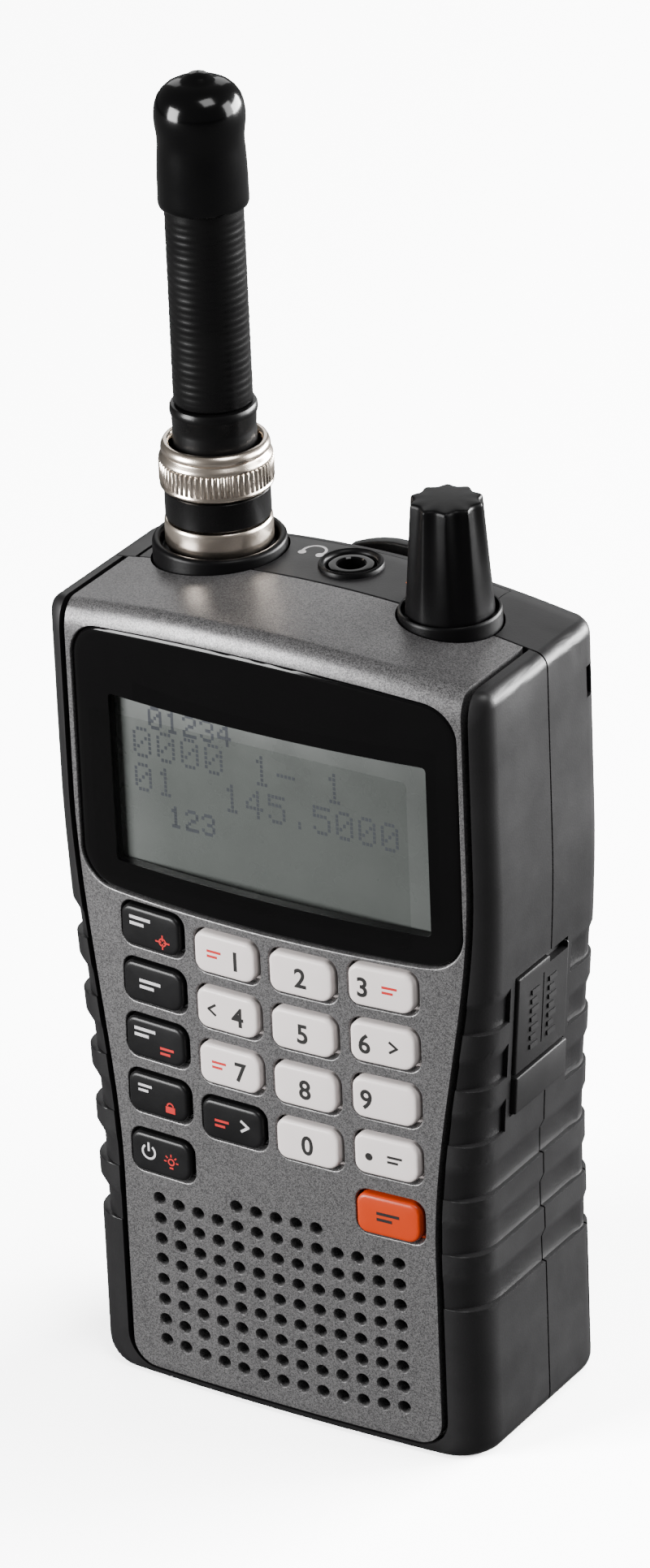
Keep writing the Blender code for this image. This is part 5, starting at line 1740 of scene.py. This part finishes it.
@dataclass
class Knob:
    """The fluted volume knob and its collar.

    Attributes:
        x: Axis.
        y: Axis.
        foot_r: Radius at the foot.
        top_r: Radius at the top.
        foot: Its foot.
        top: Its top.
        flutes: Number of flutes.
    """

    x: float = 18.6
    y: float = 2.4
    foot_r: float = 5.9
    top_r: float = 4.85
    foot: float = 115.0
    top: float = 130.7
    flutes: int = 10

    def flute_ring(self, share: float, z: float, shrink: float = 0.0, soft: float = 1.0) -> list[Point]:
        """One level of the fluted wall.

        Args:
            share: 0 at the foot and 1 at the top.
            z: Its height.
            shrink: How far it is drawn in.
            soft: How deep its flutes are, as a share.

        Returns:
            The ring.
        """
        radius = self.foot_r + (self.top_r - self.foot_r) * share - shrink
        sides = self.flutes * 16
        ring = []
        for i in range(sides):
            phase = (i % 16) / 16.0
            wave = math.sin(math.pi * phase)
            depth = (0.12 + 0.5 * share) * soft * wave ** 1.3
            angle = 2 * math.pi * i / sides + 0.2
            ring.append((self.x + (radius - depth) * math.cos(angle), self.y + (radius - depth) * math.sin(angle), z))
        return ring

    def build(self) -> None:
        """Builds the knob and its collar."""
        rings = [self.flute_ring(0.0, self.foot, 0.12), self.flute_ring(0.0, self.foot + 0.15)]
        rings += [self.flute_ring(s, self.foot + (self.top - 0.75 - self.foot) * s) for s in run(0.04, 1.0, 12)]
        rings += [self.flute_ring(1.0, self.top - 0.75 + 0.55 * math.sin(a), 0.45 * (1 - math.cos(a)), 1.0) for a in (0.4, 0.8, 1.2, 1.57)]
        rings += [
            self.flute_ring(1.0, self.top - 0.2 + 0.2 * (1 - s * s), 0.45 + 4.1 * (1 - s), s ** 4)
            for s in (0.9, 0.75, 0.55, 0.3, 0.1)
        ]
        knob = loft("fluted_knob", rings)
        bore = turned("tool_knob_bore", self.x, self.y, ((3.25, 110.0), (3.25, 126.0)), 40)
        carve(knob, [bore])
        dress(soften(knob, 42.0), [TRIM])
        finish_piece(knob, "knob", "black_plastic", "volume_knob")
        profile = [
            (6.75, 111.6), (6.75, 114.95), (6.7, 115.2), (6.55, 115.38), (6.35, 115.36), (6.25, 115.2), (6.2, 114.0), (3.6, 114.0),
            (3.6, 111.6)
        ]
        collar = dress(soften(turned("knob_seat", self.x, self.y, profile, 72, True)), [TRIM])
        finish_piece(collar, "case", "black_plastic", "knob_collar")
        discard([bore])


@dataclass
class Socket:
    """The headphone jack and the signs printed beside it.

    Attributes:
        x: Axis.
        y: Axis.
    """

    x: float = 0.4
    y: float = 8.0

    def flat_print(self, name: str, outlines: Sequence[Sequence[Flat]], finish: Finish) -> bpy.types.Object:
        """Thin shapes printed on the arched top, from outlines in x and y."""
        verts: list[Point] = []
        faces: list[Sequence[int]] = []
        for outline in outlines:
            start, count = len(verts), len(outline)
            for lift in (-0.03, 0.025):
                verts += [(x, y, FORM.top_at(x) + lift) for x, y in outline]
            faces += [tuple(range(start, start + count)), tuple(range(start + count, start + 2 * count))]
            faces += [(start + i, start + (i + 1) % count, start + count + (i + 1) % count, start + count + i) for i in range(count)]
        return dress(mesh_object(name, verts, faces), [finish])

    def build(self) -> None:
        """Builds the jack and the print."""
        profile = [(1.8, 115.1), (2.0, 115.28), (2.6, 115.32), (2.95, 115.2), (3.05, 115.0), (3.05, 111.0), (4.2, 111.0), (4.2, 102.0),
                   (1.8, 102.0)]
        body = dress(soften(turned("jack_body", self.x, self.y, profile, 56, True)), [GLOSS])
        lining = turned("jack_lining", self.x, self.y, [(1.79, 103.0), (1.79, 113.2), (1.62, 113.2), (1.62, 103.0)], 40, True)
        dress(soften(lining), [NICKEL])
        finish_piece(joined("headphone_socket", [body, lining]), "case", "black_plastic", "headphone_jack")
        cx, cy = -6.3, 9.7
        phones = [ring_outline(cx, cy, 1.75, 1.4, -20.0, 200.0)]
        phones += [arc(cx + s * 1.35, cy - 0.85, 0.55, 0.0, 345.0, 16) for s in (-1, 1)]
        signs = [self.flat_print("phones_sign", phones, WHITE_INK)]
        signs.append(self.flat_print("white_tick", [bar_outline(10.2, 9.0, 10.2, 10.2, 0.3)], WHITE_INK))
        signs.append(
            self.flat_print("orange_marks", [bar_outline(9.4 + 0.9 * i, 7.0, 9.4 + 0.9 * i, 7.9, 0.45) for i in range(3)], ORANGE_INK)
        )
        finish_piece(joined("top_signs", signs), "case", "black_plastic")


@dataclass
class Clip:
    """The belt clip's bracket, its sprung arm and two screws.

    Attributes:
        rear: y of the case's back.
        gap: Space for the belt.
        thick: Thickness of the arm.
        pivot: Height of the pivot.
        foot: Foot of the arm.
        head: Head of the arm.
    """

    rear: float = 16.25
    gap: float = 4.9
    thick: float = 1.9
    pivot: float = 99.0
    foot: float = 56.0
    head: float = 112.4

    def build(self) -> None:
        """Builds the arm, the bracket and the screws."""
        arm_y = self.rear + self.gap
        right = [
            (3.0, self.foot), (4.5, self.foot + 0.15), (5.6, self.foot + 0.7), (6.4, self.foot + 1.5), (6.8, self.foot + 2.7),
            (7.0, self.foot + 4.0), (8.5, 88.0)
        ]
        right += [(x, self.head - 0.028 * x * x) for x in (8.5, 8.2, 7.5, 6.5, 5.2, 4.0, 2.6, 1.4)]
        arm = prism("clip_arm_plain", mirrored(right), arm_y, arm_y + self.thick)
        rounded(arm, 0.5, 3, 50.0)
        hook = block("tool_hook", (-5.0, self.rear + 0.9, self.foot + 0.6), (5.0, arm_y + 0.5, self.foot + 2.4))
        rounded(hook, 0.3, 2)
        carve(arm, [hook], "UNION")
        slots = [
            block(f"tool_slot_{x}", (x, arm_y - 1.0, self.pivot - 2.8), (x + 2.2, arm_y + self.thick + 1.0, self.pivot + 2.8))
            for x in (-4.6, 2.4)
        ]
        grooves = [
            block(f"tool_line_{z:.0f}", (-5.6, arm_y + self.thick - 0.3, z), (5.6, arm_y + self.thick + 1.0, z + 0.8))
            for z in run(62.0, 72.0, 5)
        ]
        carve(arm, [*slots, *grooves])
        dress(soften(arm, 32.0), [CASE])
        finish_piece(arm, "clip", "black_plastic", "clip_arm")
        discard([hook, *slots, *grooves])
        y0 = self.rear + 0.3
        bracket = rounded(block("clip_base", (-5.3, y0, 90.0), (5.3, y0 + 1.6, 108.0)), 0.3, 2)
        ears = [block(f"tool_ear_{x}", (x, y0 + 0.6, self.pivot - 2.4), (x + 1.6, arm_y + 0.6, self.pivot + 2.4)) for x in (-4.3, 2.7)]
        carve(bracket, ears, "UNION")
        holes = [prism(f"tool_hole_{z:.0f}", arc(0.0, z, 1.3, 0.0, 348.0, 29), self.rear - 2.0, self.rear + 6.0) for z in (93.0, 105.0)]
        carve(bracket, holes)
        dress(soften(bracket, 32.0), [CASE])
        finish_piece(bracket, "case", "black_plastic", "clip_bracket")
        discard([*ears, *holes])
        for number, z in enumerate((93.0, 105.0), 1):
            self.screw(number, z, y0)

    def screw(self, number: int, z: float, y0: float) -> None:
        """Builds one cross-head screw.

        Args:
            number: Its number.
            z: Its height.
            y0: y of the bracket's back.
        """
        profile = [
            (0.95, self.rear - 1.7), (0.95, y0 + 1.9), (2.0, y0 + 1.92), (2.0, y0 + 2.3), (1.85, y0 + 2.65), (1.4, y0 + 2.9),
            (0.7, y0 + 3.0)
        ]
        rings = [[(r * math.cos(a), y, z + r * math.sin(a)) for a in (2 * math.pi * i / 32 for i in range(32))] for r, y in profile]
        screw = loft(f"clip_screw_head_{number}", rings)
        cross = [
            block(f"tool_cross_{n}", (-a, y0 + 2.2, z - b), (a, y0 + 4.0, z + b))
            for n, (a, b) in enumerate(((1.1, 0.18), (0.18, 1.1)))
        ]
        carve(screw, cross)
        dress(soften(screw, 30.0), [STEEL])
        finish_piece(screw, "case", "steel", f"clip_screw_{number}")
        discard(cross)


class Inside:
    """The pieces that stay hidden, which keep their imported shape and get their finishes."""

    FINISHES = {
        "lcd_backlight": WHITE, "keypad_mat": SOFT_MAT, "main_board": BOARD, "rf_shield": TIN, "speaker_basket": STEEL, "speaker_magnet": STEEL,
        "speaker_cone": PAPER, "charge_port": TIN, "remote_port": TRIM, "encoder_shaft": NICKEL, "encoder_body": TIN, "battery_tray": CASE,
        "cell_left": WRAP, "cell_right": WRAP, "contact_spring_left": NICKEL, "contact_spring_right": NICKEL, "contact_strap": NICKEL,
    }

    def dress(self, nodes: dict[str, bpy.types.Object]) -> None:
        """Gives each carried-over node its finish.

        Args:
            nodes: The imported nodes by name.
        """
        for name, finish in self.FINISHES.items():
            obj = nodes[name]
            for number in range(max(len(obj.material_slots), 1)):
                if not obj.material_slots:
                    obj.data.materials.append(None)
                obj.material_slots[number].link = "OBJECT"
                obj.material_slots[number].material = finish.material()
            LOG.info("%s keeps its shape", name)


@dataclass
class Studio:
    """The pale floor, the lights and the camera.

    Attributes:
        eye: Where the camera stands, in millimetres.
        right: Its right-hand direction.
        up: Its up direction.
        back: Where its back points.
        lens: Focal length in millimetres.
    """

    eye: Point = (501.54, -776.22, 548.43)
    right: Point = (0.84954, 0.52615, -0.03814)
    up: Point = (-0.20643, 0.3981, 0.89381)
    back: Point = (0.48546, -0.75145, 0.44682)
    lens: float = 182.6

    def camera(self) -> None:
        """Places the camera."""
        data = bpy.data.cameras.new("view")
        data.lens = self.lens
        data.sensor_width = 36.0
        data.sensor_fit = "AUTO"
        data.clip_start = 0.01
        data.clip_end = 20.0
        camera = bpy.data.objects.new("view", data)
        turn = Matrix((self.right, self.up, self.back)).transposed().to_4x4()
        camera.matrix_world = Matrix.Translation(Vector(self.eye) * MM) @ turn
        bpy.context.scene.collection.objects.link(camera)
        bpy.context.scene.camera = camera

    def light(self, name: str, place: Point, target: Point, size: Flat, power: float, tint: Point = (1.0, 1.0, 1.0)) -> None:
        """Adds a soft rectangular light.

        Args:
            name: The light's name.
            place: Where it stands, in metres.
            target: Where it points.
            size: Its width and height in metres.
            power: Its power in watts.
            tint: Its colour.
        """
        data = bpy.data.lights.new(name, "AREA")
        data.shape = "RECTANGLE"
        data.size, data.size_y = size
        data.energy = power
        data.color = tint
        lamp = bpy.data.objects.new(name, data)
        lamp.location = place
        lamp.rotation_euler = (Vector(target) - Vector(place)).to_track_quat("-Z", "Y").to_euler()
        bpy.context.scene.collection.objects.link(lamp)

    def floor(self) -> None:
        """Lays the plain white floor."""
        floor = loft(
            "studio_floor", [[(x * 3000.0, y * 3000.0, z) for x, y in ((-1, -1), (1, -1), (1, 1), (-1, 1))] for z in (-10.0, -0.02)]
        )
        dress(floor, [Sweep("white_sweep")])

    def build(self) -> None:
        """Builds the studio."""
        self.camera()
        self.floor()
        world = bpy.data.worlds.new("studio_air")
        world.use_nodes = True
        world.node_tree.nodes["Background"].inputs["Color"].default_value = (1.0, 1.0, 1.0, 1.0)
        world.node_tree.nodes["Background"].inputs["Strength"].default_value = 0.14
        bpy.context.scene.world = world
        aim = (0.0, 0.0, 0.09)
        self.light("overhead", (0.4, -0.15, 0.9), aim, (0.4, 0.4), 5.0)
        self.light("left_bank", (-0.75, -0.95, 0.3), aim, (0.6, 0.7), 54.0)
        self.light("right_bank", (1.0, 0.5, 0.4), aim, (0.5, 0.7), 14.0)
        self.light("back_right", (0.75, 1.15, 0.25), aim, (1.0, 0.5), 105.0)
        self.light("back_left", (-0.65, 1.0, 0.65), aim, (0.9, 0.7), 3.0)


def main() -> None:
    """Builds the object and the studio."""
    logging.basicConfig(level=logging.INFO, format="%(name)s: %(message)s")
    keys = Keypad()
    case = Case()
    Studio().build()
    case.build(keys)
    Display(case).build()
    keys.build()
    Antenna().build()
    Knob().build()
    Socket().build()
    Clip().build()
    Inside().dress(frame["nodes"])


if __name__ == "__main__":
    main()
